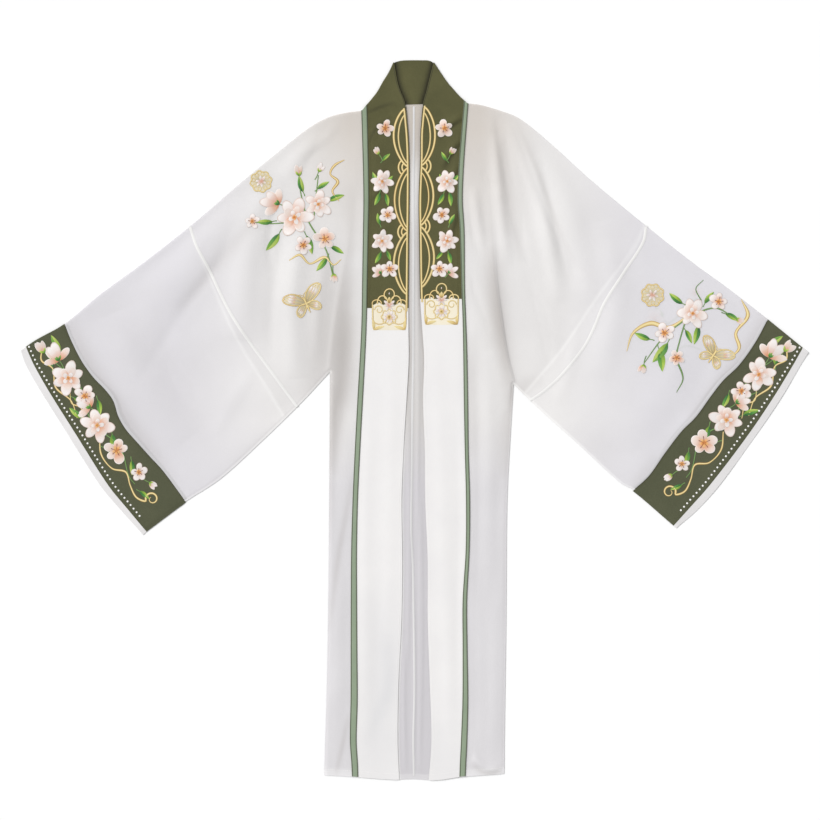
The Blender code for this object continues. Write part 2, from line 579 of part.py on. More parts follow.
def collar_front(outline, side):
    """Rows of the collar's front part, from its lower end up to its folded edge."""
    downs = front_edge_downs(outline)
    free = Path(COLLAR_FREE[side])
    top, end = free.points[0, 1], OLIVE_END[side]
    downs = [down for down in downs[::-1] if top + LEAST_ROW < down < end - LEAST_ROW]
    rows = strip_rows(outline, [end, *downs, top], *band_side(outline), BAND_COLUMNS)
    across = np.linspace(0, 1, BAND_COLUMNS + 1)
    fold = outline.collar_fold
    corner = outline.shoulder - np.array([2 * SEAM, SEAM])
    start = rows[-1][-1]
    fold_row, outward = inset(fold, fold.at(1 - across))
    fold_row[-1], outward[-1] = corner, outline.shoulder_up[0]
    bow = fold_row - (fold_row[0] + (fold_row[-1] - fold_row[0]) * across[:, None])
    for n in range(1, FAN_LINES + 1):
        share = n / (FAN_LINES + 1)
        foot = start + (corner - start) * share
        head = free.at(share) + (fold_row[0] - free.points[-1]) * share
        rows.append(head + (foot - head) * across[:, None] + bow * share**2)
    rows.append(fold_row)
    return rows, outward


def make_collar(outlines, neckline):
    """The olive band, from the left front up over the shoulder, round the back and down the right front."""
    cloth = Cloth(1)
    halves = {}
    for side, outline in outlines.items():
        rows, outward = collar_front(outline, side)
        front = [lifted(row, outline.level(row) + band_lift(BAND_COLUMNS)) for row in rows[:-1]]
        front.append(lifted(rows[-1], FRONT_LEVEL + EDGE_RISE))
        turn = rolled(rows[-1], outward)
        turn.append(lifted(rows[-1], BACK_LEVEL))
        halves[side] = [np.array(row) * [side, 1, 1] for row in front + turn]
    across = np.linspace(0, 1, BAND_COLUMNS + 1)
    left, right = halves[-1], halves[1]
    start, end = left[-1], right[-1]
    back = []
    top = Path(COLLAR_BACK_TOP)
    for place in NECK_PLACES:
        share = (place - start[-1, 0]) / (end[-1, 0] - start[-1, 0])
        foot = np.array([place, np.interp(place, *neckline) - SEAM, BACK_LEVEL])
        head = np.array([*top.at(share), BACK_LEVEL])
        head[0] = start[0, 0] + (end[0, 0] - start[0, 0]) * share
        bow_left = start - (start[0] + (start[-1] - start[0]) * across[:, None])
        bow_right = end - (end[0] + (end[-1] - end[0]) * across[:, None])
        row = head + (foot - head) * across[:, None]
        back.append(row + bow_left * max(0, 1 - 2 * share) ** 2 + bow_right * max(0, 2 * share - 1) ** 2)
    cloth.grid([row[::-1] for row in left + back + right[::-1]])
    finish("collar", *cloth.walls(WALL), OLIVE, 0.8)


def make_strip(side, outline):
    """The sage strip over the seam between band and front."""
    half = STRIPE_WIDTH[side] / 2 - PIPING_WIDTH - SEAM
    rows = strip_rows(outline, front_edge_downs(outline), lambda down: outline.seam_out(down) - half,
                      lambda down: outline.seam_out(down) + half, 1)
    rise = WALL / 2 + SEAM + TRIM_WALL / 2
    rows[0][:, 1] = outline.edge_down(rows[0][:, 0]) + TRIM_INSET
    cloth = Cloth(side)
    cloth.grid([lifted(row, strip_level(outline, row) + rise) for row in rows][::-1])
    finish(f"stripe_{SIDES[side]}", *cloth.walls(TRIM_WALL), SAGE, 0.55)


def strip_level(outline, row):
    """The front's height at the seam, the same right across a row of the trim."""
    seam = np.array([[outline.seam_out(row[0, 1]), row[0, 1]]])
    return float(outline.level(seam)[0])


def make_piping(side, outline, name, centre_out):
    """A soft-edged cord of five sides along the strip, flat where it lies on the cloth."""
    half, cheek = PIPING_WIDTH / 2 - SEAM / 2, 0.6 * PIPING_HEIGHT
    section = ((-half, 0), (half, 0), (0.9 * half, cheek), (0, PIPING_HEIGHT), (-0.9 * half, cheek))
    points, faces = [], []
    rows = strip_rows(outline, front_edge_downs(outline), centre_out, centre_out, 0)
    rows[0][:, 1] = outline.edge_down(rows[0][:, 0]) + TRIM_INSET
    for row in rows:
        base = strip_level(outline, row) + WALL / 2 + SEAM
        for across, up in section:
            place = np.array([side * (row[0, 0] + across), MIDDLE_DOWN - row[0, 1], base + up])
            points.append(place * MM)
    count, sides = len(rows), len(section)
    for n in range(count - 1):
        for k in range(sides):
            a, b = n * sides + k, n * sides + (k + 1) % sides
            faces.append([a, b, b + sides, a + sides])
    faces += [list(range(sides))[::-1], list(range((count - 1) * sides, count * sides))]
    if side < 0:
        faces = [face[::-1] for face in faces]
    finish(f"piping_{SIDES[side]}_{name}", points, faces, PIPING, 0.7)


def main():
    for item in list(bpy.data.objects):
        bpy.data.objects.remove(item, do_unlink=True)
    outlines = {side: Outline(side) for side in SIDES}
    neckline = neck_line(outlines)
    for side, outline in outlines.items():
        make_body(side, outline, neckline)
        make_sleeve(side, outline)
        make_band(side, outline)
        make_strip(side, outline)
        offset = (STRIPE_WIDTH[side] - PIPING_WIDTH) / 2
        make_piping(side, outline, "inner", lambda down: outline.seam_out(down) - offset)
        make_piping(side, outline, "outer", lambda down: outline.seam_out(down) + offset)
    make_collar(outlines, neckline)


main()
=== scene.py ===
"""Dresses a hanfu robe laid flat: sheer body and sleeves, satin front bands, an olive collar and olive cuffs,
sage strips with dark piping, the sewing that holds them, and raised embroidery.

Tables give places in millimetres, as `out` from the robe's centre line and `down` from the top of its collar,
or as `across` where a motif lies to the left (below zero) or right of the centre line.
"""

import logging
from dataclasses import dataclass, field
from enum import Enum
from typing import Callable, Iterable, NamedTuple, Optional, Sequence, Union

import bpy
import numpy as np
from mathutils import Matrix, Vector
from mathutils.bvhtree import BVHTree


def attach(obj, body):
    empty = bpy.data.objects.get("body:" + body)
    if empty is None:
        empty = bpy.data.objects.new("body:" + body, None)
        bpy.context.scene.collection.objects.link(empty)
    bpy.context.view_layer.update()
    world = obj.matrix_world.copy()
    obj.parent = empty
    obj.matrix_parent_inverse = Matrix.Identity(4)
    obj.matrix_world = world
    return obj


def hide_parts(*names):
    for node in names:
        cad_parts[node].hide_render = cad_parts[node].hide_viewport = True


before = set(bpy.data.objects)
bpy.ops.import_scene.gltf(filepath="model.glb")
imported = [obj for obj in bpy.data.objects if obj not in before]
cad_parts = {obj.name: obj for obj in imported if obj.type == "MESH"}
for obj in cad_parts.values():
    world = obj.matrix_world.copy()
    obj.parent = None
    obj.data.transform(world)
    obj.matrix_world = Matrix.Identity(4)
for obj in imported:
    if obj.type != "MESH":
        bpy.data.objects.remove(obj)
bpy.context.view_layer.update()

logging.basicConfig(level=logging.INFO, format="%(message)s")
log = logging.getLogger("robe")

MM = 0.001
BODY = "root"
CLOTH_SEED, SPRAY_SEED, CUFF_SEED, CHAIN_SEED, TILE_SEED = 11, 21, 31, 41, 51
IMAGE_SIDE = 820  # pixels of the square frame
PIXEL = 1.85  # millimetres of the robe in one of them

# Heights above the surface, in millimetres
BACK_LEVEL = 0.5
FRONT_LEVEL = 2.2
EDGE_RISE = 0.8
LOWEST_FRONT = 1.2
SEWN_LEVEL = 1.2
GAP_RISE = 0.6
HIGHEST_GAP = 1.9
BAND_LIFT = 0.25
RUMPLE_HEIGHT = 0.55
ROLL_RADIUS = (FRONT_LEVEL + EDGE_RISE - BACK_LEVEL) / 2

# Thicknesses, in millimetres
DOUBLE_PLY = 0.9  # a doubled, opaque piece
BAND_PLY = 0.5
STRIPE_PLY = 0.5

# Widths and reaches in millimetres, and shares
EDGE_CLEAR = 0.5
EDGE_REACH = 14.0
EDGE_EASE = 24.0
SEWN_EASE = 10.0
STRIPE_WIDTH = {-1: 10.0, 1: 7.0}
STRIPE_CLEAR = 3.0
STRIPE_EASE = 12.0
RUMPLE_LENGTHS = (70.0, 240.0)  # the shortest and the longest wave of laid cloth
FOLD_TAPER = 0.6
GAP_TAPER = 0.5
BAND_RUMPLE = 0.35  # share of the cloth's unevenness that the bands have
BAND_LIFT_SHARE = 1 / 3
OLIVE_END = {-1: 460.0, 1: 443.0}
CENTRE_BACK = -3.0
BACK_CUFF_SHIFT = 9.5
NECK_REACH = 120.0
HEM_REACH = 120.0
HEM_DEPTH = 11.0
MIDDLE_DOWN = 667.27  # the robe's middle, below the top of the collar
NARROW_BODY = 70.0
LEAST_PLEAT = 0.55
PLEAT_SHARE = {-1: 0.4, 1: 1.0}
PLEAT_SHADE = 0.7
PLEAT_SHADE_REACH = 15.0
FRONT_CLOSING = 7.0
BACK_CLOSING = 4.0


class Mark(NamedTuple):
    """A place on one half of the robe."""

    out: float
    down: float


class Edge(NamedTuple):
    """A place along the shoulder: how far down it lies on each side."""

    out: float
    left: float
    right: float


class Along(NamedTuple):
    """A place down the front: how far out it lies on each side."""

    down: float
    left: float
    right: float


class Fold(NamedTuple):
    """A soft ridge of the cloth, or a trough where its rise is below zero."""

    start: Mark
    middle: Mark
    end: Mark
    rise: float
    reach: float


class Shade(NamedTuple):
    """A soft stretch of the front that lies in the shade, how deep the shade is and how far it reaches."""

    marks: tuple[Mark, ...]
    depth: float
    reach: float


class Pleat(NamedTuple):
    """A point of the section across the fold of the body over the sleeve."""

    plain: float
    folded: float
    height: float


def table(kind: type, *rows: tuple[float, ...]) -> tuple:
    """A table's rows, each made from its values."""
    return tuple(kind(*row) for row in rows)


def marks(*places: tuple[float, float]) -> tuple[Mark, ...]:
    """A table of places, given as out and down."""
    return table(Mark, *places)


def folds(*rows: tuple) -> tuple[Fold, ...]:
    """A table of folds: three places each, a rise and a reach."""
    return tuple(Fold(*marks(*row[:3]), *row[3:]) for row in rows)


def shades(*rows: tuple) -> tuple[Shade, ...]:
    """A table of shades: places in any number, a depth and a reach."""
    return tuple(Shade(marks(*row[:-2]), *row[-2:]) for row in rows)


# The shoulder and the sleeve's folded upper edge, from the collar to the mouth
TOP_EDGE = table(Edge,
    (80, 74.5, 64.5), (91, 86, 75), (98, 93.5, 80.5), (108, 96, 82.5), (120, 97.5, 84.5), (157, 106, 95),
    (194, 125, 110), (249, 167, 154), (323, 228, 221), (416, 308, 298), (508, 380, 371), (582, 434, 425),
    (650, 490, 478), (700, 518, 518), (728.7, 537.4, 541))
# The sleeve's sewn lower edge, from the underarm to the mouth
LOWER_EDGE = {
    -1: marks((157, 578), (212, 637), (286, 709), (360, 776), (424, 818), (497, 872), (504, 877)),
    1: marks((183, 601), (232, 648), (306, 715), (380, 783), (405, 797), (480, 861), (485.5, 865)),
}
# Where the body folds over the sleeve, from the shoulder to the underarm
BODY_FOLD = {
    -1: marks((120, 97), (116, 241), (121.5, 334), (132.5, 397), (147, 491), (157, 578)),
    1: marks((128, 85.3), (137, 241), (146.5, 397), (156, 470), (169, 550), (183, 601)),
}
# The side seam, from the underarm to the hem
SIDE_EDGE = {
    -1: marks((157, 578), (158, 780), (160, 1000), (162.5, 1148), (167.7, 1323.7)),
    1: marks((183, 601), (178.5, 670), (171, 815), (169, 1037), (166, 1255), (165.5, 1321)),
}
# The seams half way down the sleeve, in front and behind
FRONT_SEAM = {
    -1: marks((416, 308), (403, 346), (382, 385), (347, 458), (318, 505), (270, 571), (217.5, 642.6)),
    1: marks(
        (428, 307.5), (422, 339), (386, 395), (350, 451.5), (331.5, 496), (311.5, 534), (269, 586),
        (234, 617), (213, 630.6)),
}
BACK_SEAM = {
    -1: marks((416, 308), (399, 354), (351, 471), (318, 536), (279, 598), (240, 664)),
    1: marks((426, 306), (405, 349), (339, 438), (275, 533), (226, 592), (202, 620)),
}
# The cuff's seam with the sleeve, its mouth, and the lining that shows past it
CUFF_INNER = {
    -1: marks(
        (648, 488.7), (637, 517), (617, 557), (595, 588), (571, 613), (557, 633), (549, 659), (535, 684),
        (515, 707), (490, 735), (466, 761), (424, 818)),
    1: marks(
        (653.5, 480.6), (630, 524), (600, 566), (571, 594), (549, 622), (520, 662), (494, 688), (462, 730),
        (434, 770), (405, 797)),
}
CUFF_OUTER = {
    -1: marks((719, 531), (704, 565), (672, 621), (626, 694), (567, 787), (528, 835), (497, 872)),
    1: marks((718, 533), (700, 565), (666, 621), (617, 694), (547, 786), (508, 830), (480, 861)),
}
LINING_END = {
    -1: marks((728.6, 537.4), (719, 565), (687, 621), (641, 694), (582, 787), (542, 835), (504, 877)),
    1: marks((728.7, 541), (714, 565), (681, 621), (632, 694), (564, 787), (522, 834), (485.5, 865)),
}
# The sage strip's outer edge and its widths, and the front's free edge
STRIPE_EDGE = table(Along,
    (82, 99.4, 99.2), (108, 98.3, 97.2), (167, 96.6, 92.8), (204, 95.6, 90.5), (260, 94.8, 88.7),
    (315, 95.6, 92), (426, 97.4, 93), (482, 98.2, 95), (537, 100.6, 96.9), (630, 105.9, 98.7),
    (722, 110.7, 99.8), (815, 114.8, 102.4), (907, 117.4, 101.5), (1000, 118.1, 96.9), (1092, 118.3, 97.6),
    (1185, 118.5, 98.9), (1259, 119.8, 97.2), (1305, 116.8, 95), (1335, 115.6, 94))
STRIPE_WIDTHS = table(Along,
    (82, 11.2, 8.4), (204, 10.5, 9.4), (315, 10, 8.7), (426, 9.8, 6.4), (482, 9.6, 6.4), (537, 9.8, 7.2),
    (630, 10.2, 7.8), (722, 10, 7.2), (815, 9.8, 7.6), (907, 10.6, 7.2), (1000, 11.5, 8.2),
    (1092, 12.2, 8.9), (1185, 13, 10.6), (1259, 12.4, 11.6), (1335, 11.5, 11.5))
FREE_EDGE = table(Along,
    (82, 18, 16), (130, 12.3, 10.8), (186, 9.6, 9.9), (260, 9.6, 7.2), (334, 10.5, 8.2), (437, 11.4, 10),
    (500, 11.4, 14.2), (556, 11, 17.5), (630, 15.1, 15.5), (722, 20.6, 18.8), (815, 24.2, 19.6),
    (926, 22.8, 24), (1037, 24.4, 24.2), (1148, 29.8, 27.8), (1259, 31.5, 31), (1333, 28.5, 26))
# The collar: its outer, folded edge over the shoulder, its free edge, and its top behind the neck
COLLAR_FOLD = {
    -1: marks((91, 86), (80.8, 74.5), (69.6, 60), (58.6, 40.7), (48, 23.5), (39.5, 5.6)),
    1: marks((91, 75), (83.9, 68.5), (72.8, 56.5), (59.8, 41), (46.8, 22), (36, 5.6)),
}
COLLAR_FREE = {
    -1: marks((12.3, 130), (18, 82), (28.6, 55), (33.6, 38), (39.5, 5.6)),
    1: marks((10.8, 130), (16, 82), (22.3, 59), (29.5, 31), (36, 5.6)),
}
COLLAR_BACK_TOP = marks((-39.5, 5.6), (-26, 2.4), (-12, 1.6), (14, 1.6), (28, 2.2), (36, 5.6))
HEM = {
    -1: marks((3, 1331), (40, 1332), (120, 1326.5), (167.7, 1323.7)),
    1: marks((-3, 1331), (40, 1333), (84, 1327), (165.5, 1321)),
}
NECK_BEND = Mark(-40, 84.5)
BACK_PLACE = 40.0

# The folds of the front layer: the largest first, then the smaller creases between them
FOLDS = {
    -1: folds(
        ((318, 250), (408, 372), (505, 520), 5.5, 42), ((270, 272), (400, 424), (520, 612), -1.0, 12),
        ((266, 232), (308, 368), (322, 520), 7.0, 30), ((205, 290), (226, 440), (222, 590), 5.0, 20),
        ((180, 128), (208, 168), (240, 222), 3.6, 20), ((116, 470), (142, 690), (154, 880), -1.0, 12),
        ((555, 470), (500, 600), (420, 700), 3.4, 34), ((139, 900), (143, 1110), (146, 1318), 0.8, 12),
        ((157, 130), (186, 170), (212, 214), -1.2, 10), ((110, 445), (129, 448), (158, 436), -0.9, 7),
        ((330, 300), (374, 392), (436, 470), -1.3, 12), ((240, 300), (262, 430), (268, 560), -1.4, 11),
        ((470, 420), (452, 560), (380, 690), -1.0, 20), ((150, 300), (176, 430), (184, 560), 1.5, 11),
        ((285, 560), (330, 620), (372, 700), 1.2, 15), ((255, 262), (268, 330), (266, 400), -1.6, 8),
        ((140, 112), (170, 150), (205, 176), 1.6, 9)),
    1: folds(
        ((180, 112), (234, 268), (268, 450), 5.6, 15), ((150, 140), (158, 260), (172, 380), 4.5, 12),
        ((250, 170), (292, 300), (330, 450), 3.8, 24), ((345, 300), (372, 430), (345, 590), 4.0, 26),
        ((109, 235), (116, 290), (126, 350), 3.2, 9), ((133, 500), (139, 740), (136, 990), 1.6, 13),
        ((106, 1290), (132, 1310), (160, 1312), 4.5, 7), ((150, 1000), (147, 1180), (143, 1316), 1.0, 12),
        ((520, 450), (460, 620), (380, 720), 3.4, 34), ((165, 123), (180, 254), (213, 390), -1.8, 8),
        ((178, 104), (226, 238), (262, 330), -2.0, 7), ((126, 206), (139, 227), (156, 240), -1.2, 6),
        ((95, 288), (108, 322), (121, 362), -0.9, 6), ((97, 390), (116, 440), (139, 500), -1.2, 7),
        ((252, 288), (278, 350), (311, 426), -1.5, 9), ((205, 400), (236, 470), (250, 570), -1.3, 10),
        ((300, 470), (290, 560), (262, 640), 1.4, 14), ((112, 560), (118, 760), (115, 980), -0.6, 9),
        ((120, 1010), (124, 1150), (122, 1290), 0.5, 9), ((560, 520), (520, 620), (450, 700), -0.9, 18),
        ((232, 190), (258, 300), (294, 425), -2.0, 9), ((152, 100), (158, 160), (176, 250), -1.6, 7)),
}
# The folds of the back where it shows between the bands, as places across X and down
GAP_FOLDS = folds(
    ((-6, 92), (-3, 300), (-6, 560), 1.3, 3.6), ((4, 300), (7, 620), (4, 900), 1.0, 3.4),
    ((-12, 620), (-9, 860), (-13, 1120), 1.1, 4.2), ((10, 780), (12, 1040), (9, 1318), 1.2, 4.4),
    ((-2, 980), (0, 1150), (-3, 1318), 0.9, 4.0), ((-18, 1080), (-20, 1200), (-17, 1318), 0.9, 4.0))
# The seam down the middle of the back, as places across X and down
CENTRE_SEAM = marks(
    (-1.5, 87), (-2.2, 300), (-2.4, 519), (-4.0, 630), (-5.4, 778), (-6.0, 873), (-3.2, 944), (-2.0, 1030),
    (-0.8, 1110), (-0.6, 1180), (-2.4, 1252), (-1.4, 1325))
# Small wrinkles that pull the olive collar and the satin bands
BAND_FOLDS = {
    -1: folds(
        ((62, 120), (70, 190), (64, 270), 0.8, 14), ((40, 480), (44, 760), (50, 1060), 0.8, 14),
        ((84, 640), (92, 900), (90, 1200), 0.8, 12), ((60, 900), (68, 1100), (70, 1310), -0.7, 13),
        ((34, 84), (62, 92), (88, 104), 1.8, 7), ((42, 112), (70, 134), (86, 162), 1.8, 7),
        ((57, 196), (64, 232), (79, 254), 1.6, 7), ((40, 300), (66, 322), (86, 352), 1.4, 7)),
    1: folds(
        ((44, 142), (62, 120), (92, 102), 2.4, 7), ((50, 196), (72, 160), (92, 143), 2.4, 7),
        ((54, 252), (67, 216), (90, 185), 2.0, 7), ((62, 336), (72, 300), (86, 263), 1.6, 7),
        ((58, 330), (72, 372), (76, 424), -0.9, 7), ((36, 500), (50, 780), (48, 1080), 0.8, 14),
        ((78, 620), (84, 880), (82, 1220), -0.8, 12), ((58, 860), (62, 1080), (66, 1310), 0.7, 12)),
}
# Stretches of the front that face away from the light, or lie behind a fold
SHADES = {
    -1: shades(
        ((648, 470), (606, 570), (552, 640), (500, 712), (440, 790), 0.42, 17),
        ((640, 480), (600, 560), (548, 650), 0.15, 20),
        ((232, 222), (300, 305), (366, 384), (440, 470), 0.3, 14),
        ((150, 600), (157, 700), (161, 800), (162, 900), 0.35, 12),
        ((560, 430), (480, 580), (400, 720), 0.12, 90),
        ((120, 380), (132, 530), (143, 660), (153, 770), 0.75, 17),
        ((112, 760), (129, 852), (142, 926), (158, 1060), 0.42, 6),
        ((110, 470), (119, 560), (130, 650), 0.34, 13), ((122, 1210), (132, 1262), (147, 1330), 0.4, 5),
        ((116, 230), (120, 310), (124, 390), 0.26, 13),
        ((150, 330), (162, 450), (172, 560), (190, 680), 0.62, 34),
        ((58, 960), (60, 1180), (60, 1420), 0.22, 44),
        ((51, 1060), (47, 1157), (75, 1229), (92, 1270), 0.2, 15), ((34, 80), (62, 88), (90, 100), 0.4, 4),
        ((42, 106), (71, 128), (88, 160), 0.4, 4), ((55, 200), (61, 238), (79, 262), 0.34, 4)),
    1: shades(
        ((664, 455), (604, 560), (552, 618), (510, 668), 0.46, 18),
        ((452, 735), (424, 770), (396, 806), 0.26, 14), ((148, 340), (160, 500), (178, 640), 0.6, 18),
        ((128, 350), (136, 430), (142, 540), 0.3, 16), ((100, 500), (103, 620), (106, 740), 0.26, 16),
        ((240, 590), (204, 604), (174, 660), (166, 780), 0.45, 14),
        ((148, 100), (158, 200), (172, 330), 0.34, 8),
        ((184, 104), (203, 151), (230, 215), (262, 302), (304, 392), 0.24, 5),
        ((160, 110), (170, 200), (182, 290), (196, 380), 0.22, 6),
        ((104, 1300), (130, 1320), (162, 1316), 0.5, 5), ((48, 1220), (52, 1300), (52, 1380), 0.16, 40),
        ((44, 150), (62, 128), (94, 108), 0.5, 4), ((52, 204), (74, 168), (94, 149), 0.5, 4),
        ((56, 262), (69, 224), (92, 191), 0.45, 4), ((64, 344), (74, 306), (88, 268), 0.35, 4)),
}
# The section across the pleat where the body folds over the sleeve, and how far it is folded going down
PLEAT_SECTION = table(Pleat,
    (-46, -46, 0), (-30, -30, 0.4), (-16, -16, 2.8), (-6, -6, 5.6), (0, 0, 6.6), (4, 3.2, 5.2),
    (8, 3.8, 3.4), (12, 3.2, 1.5), (17, 6.5, 0.3), (23, 14, 0))
PLEAT_STRENGTH = marks(
    (0, 0), (230, 0), (330, 0.25), (400, 0.45), (490, 0.55), (545, 0.5), (575, 0.4), (601, 0.3), (660, 0),
    (1400, 0))
SIDES = {-1: "left", 1: "right"}

Array = np.ndarray
Colour = tuple[float, float, float]
Floats = Union[float, Array]
Heights = Callable[[Array], Array]  # a number at each of many places
Piece = bpy.types.Object


def run_of(points: Array) -> Array:
    """How far along a line each of its points lies."""
    return np.concatenate([[0], np.cumsum(np.linalg.norm(np.diff(points, axis=0), axis=1))])


def bell(gap: Array, reach: Floats, power: int = 2) -> Array:
    """From 1 on a line to nothing well beyond its reach."""
    return np.exp(-((gap / reach) ** power))


def tapered(share: Array, power: float = FOLD_TAPER) -> Array:
    """From nothing at both ends of a line to 1 half way along it."""
    return np.sin(np.pi * np.clip(share, 0, 1)) ** power


class Path:
    """A smooth line through a table's marks, measured along its length.

    Args:
        marks: Points in two or more dimensions, in order.
        fine: Points to each span between two marks.
    """

    def __init__(self, marks: Sequence[Sequence[float]], fine: int = 12) -> None:
        knots = np.array(marks, float)
        ends = np.vstack([2 * knots[0] - knots[1], knots, 2 * knots[-1] - knots[-2]])
        s = np.linspace(0, 1, fine, endpoint=False)[:, None]
        runs = []
        for a, b, c, d in zip(ends, ends[1:], ends[2:], ends[3:]):
            span = np.linalg.norm(c - b)
            leave = (c - a) * span / (span + np.linalg.norm(b - a))
            arrive = (d - b) * span / (span + np.linalg.norm(d - c))
            runs.append((2 * s**3 - 3 * s**2 + 1) * b + (s**3 - 2 * s**2 + s) * leave
                        + (3 * s**2 - 2 * s**3) * c + (s**3 - s**2) * arrive)
        self.points = np.vstack(runs + [knots[-1:]])
        self.reached = run_of(self.points)
        self.length = float(self.reached[-1])

    def at_distance(self, distance: Floats) -> Array:
        """The points that lie these distances along the path."""
        distance = np.asarray(distance, float)
        columns = [np.interp(distance, self.reached, column) for column in self.points.T]
        return np.stack(columns, axis=-1)

    def at(self, share: Floats) -> Array:
        """The points at these shares of the path's length."""
        return self.at_distance(np.asarray(share, float) * self.length)

    def every(self, step: float) -> Array:
        """Points along the whole path, about this far apart."""
        return self.at(np.linspace(0, 1, max(2, round(self.length / step) + 1)))

    def where_out(self, out: float) -> float:
        """The distance along the path at which it is this far out."""
        return float(np.interp(out, self.points[:, 0], self.reached))

    def between(self, out_from: float, out_to: float, shares: Array) -> Array:
        """Points at shares of the stretch between two distances out."""
        start, end = self.where_out(out_from), self.where_out(out_to)
        return self.at_distance(start + (end - start) * shares)

    def square_to(self, points: Array) -> Array:
        """Unit vectors square to the path at its nearest place."""
        nearest = np.argmin(np.linalg.norm(points[:, None] - self.points[None], axis=2), axis=1)
        before, after = np.maximum(nearest - 1, 0), np.minimum(nearest + 1, len(self.points) - 1)
        along = self.points[after] - self.points[before]
        along /= np.linalg.norm(along, axis=1)[:, None]
        return np.stack([along[:, 1], -along[:, 0]], axis=1)

    def distance_to(self, points: Array) -> tuple[Array, Array]:
        """How far points lie from the path.

        Args:
            points: Places, in an array of any shape that ends in two.

        Returns:
            The distances, and the share of the path's length at each nearest place.
        """
        starts, steps = self.points[:-1], np.diff(self.points, axis=0)
        offsets = points[..., None, :] - starts
        shares = np.clip((offsets * steps).sum(-1) / np.maximum((steps**2).sum(-1), 1e-9), 0, 1)
        gaps = np.linalg.norm(offsets - shares[..., None] * steps, axis=-1)
        nearest = gaps.argmin(-1)
        gap = np.take_along_axis(gaps, nearest[..., None], -1)[..., 0]
        share = np.take_along_axis(shares, nearest[..., None], -1)[..., 0]
        return gap, (self.reached[nearest] + share * np.diff(self.reached)[nearest]) / self.length


def out_at(path: Path, down: Floats) -> Array:
    """How far out a path lies at this distance down."""
    return np.interp(down, path.points[:, 1], path.points[:, 0])


def coons_row(top: Array, bottom: Array, left: Array, right: Array, across: Array, share: float) -> Array:
    """One row of a patch between four edges.

    Args:
        top, bottom: The edges that rows run beside, as points.
        left, right: Where this row starts and ends.
        across: Shares along the row.
        share: How far down the patch the row lies.

    Returns:
        The row's points.
    """
    u = across[:, None]
    blend = (1 - share) * top + share * bottom + (1 - u) * left + u * right
    corners = ((1 - u) * (1 - share) * top[0] + u * (1 - share) * top[-1]
               + (1 - u) * share * bottom[0] + u * share * bottom[-1])
    return blend - corners


def bow_of(row: Array, across: Array) -> Array:
    """How far a row leaves the straight line between its ends."""
    return row - (row[0] + (row[-1] - row[0]) * across[:, None])


def spaced(row: Array, distances: Sequence[float]) -> tuple[Array, float]:
    """Points at these distances along a finely divided row, and the row's length."""
    reached = run_of(row)
    points = np.stack([np.interp(distances, reached, row[:, k]) for k in (0, 1)], axis=-1)
    return points, float(reached[-1])


def crowded(count: int, ease: float = 0.55) -> Array:
    """Shares from 0 to 1 that lie closer together towards both ends."""
    t = np.linspace(0, 1, count)
    return t - ease * np.sin(2 * np.pi * t) / (2 * np.pi)


def lifted(points: Array, heights: Floats) -> Array:
    """Places on the robe with a height added to each."""
    return np.concatenate([points, np.broadcast_to(heights, points.shape[:-1])[..., None]], axis=-1)


class Rumple:
    """The slight unevenness of cloth laid by hand: a sum of long, low waves with a fixed seed."""

    def __init__(self, seed: int, height: float, shortest: float, longest: float, waves: int = 14) -> None:
        draw = np.random.default_rng(seed)
        turn, length = draw.uniform(0, np.pi, waves), draw.uniform(shortest, longest, waves)
        self.waves = 2 * np.pi * np.stack([np.cos(turn), np.sin(turn)]) / length
        self.phase = draw.uniform(0, 2 * np.pi, waves)
        self.height = height / np.sqrt(waves)

    def at(self, points: Array) -> Array:
        """Its height at these places."""
        return self.height * np.sin(points @ self.waves + self.phase).sum(-1)


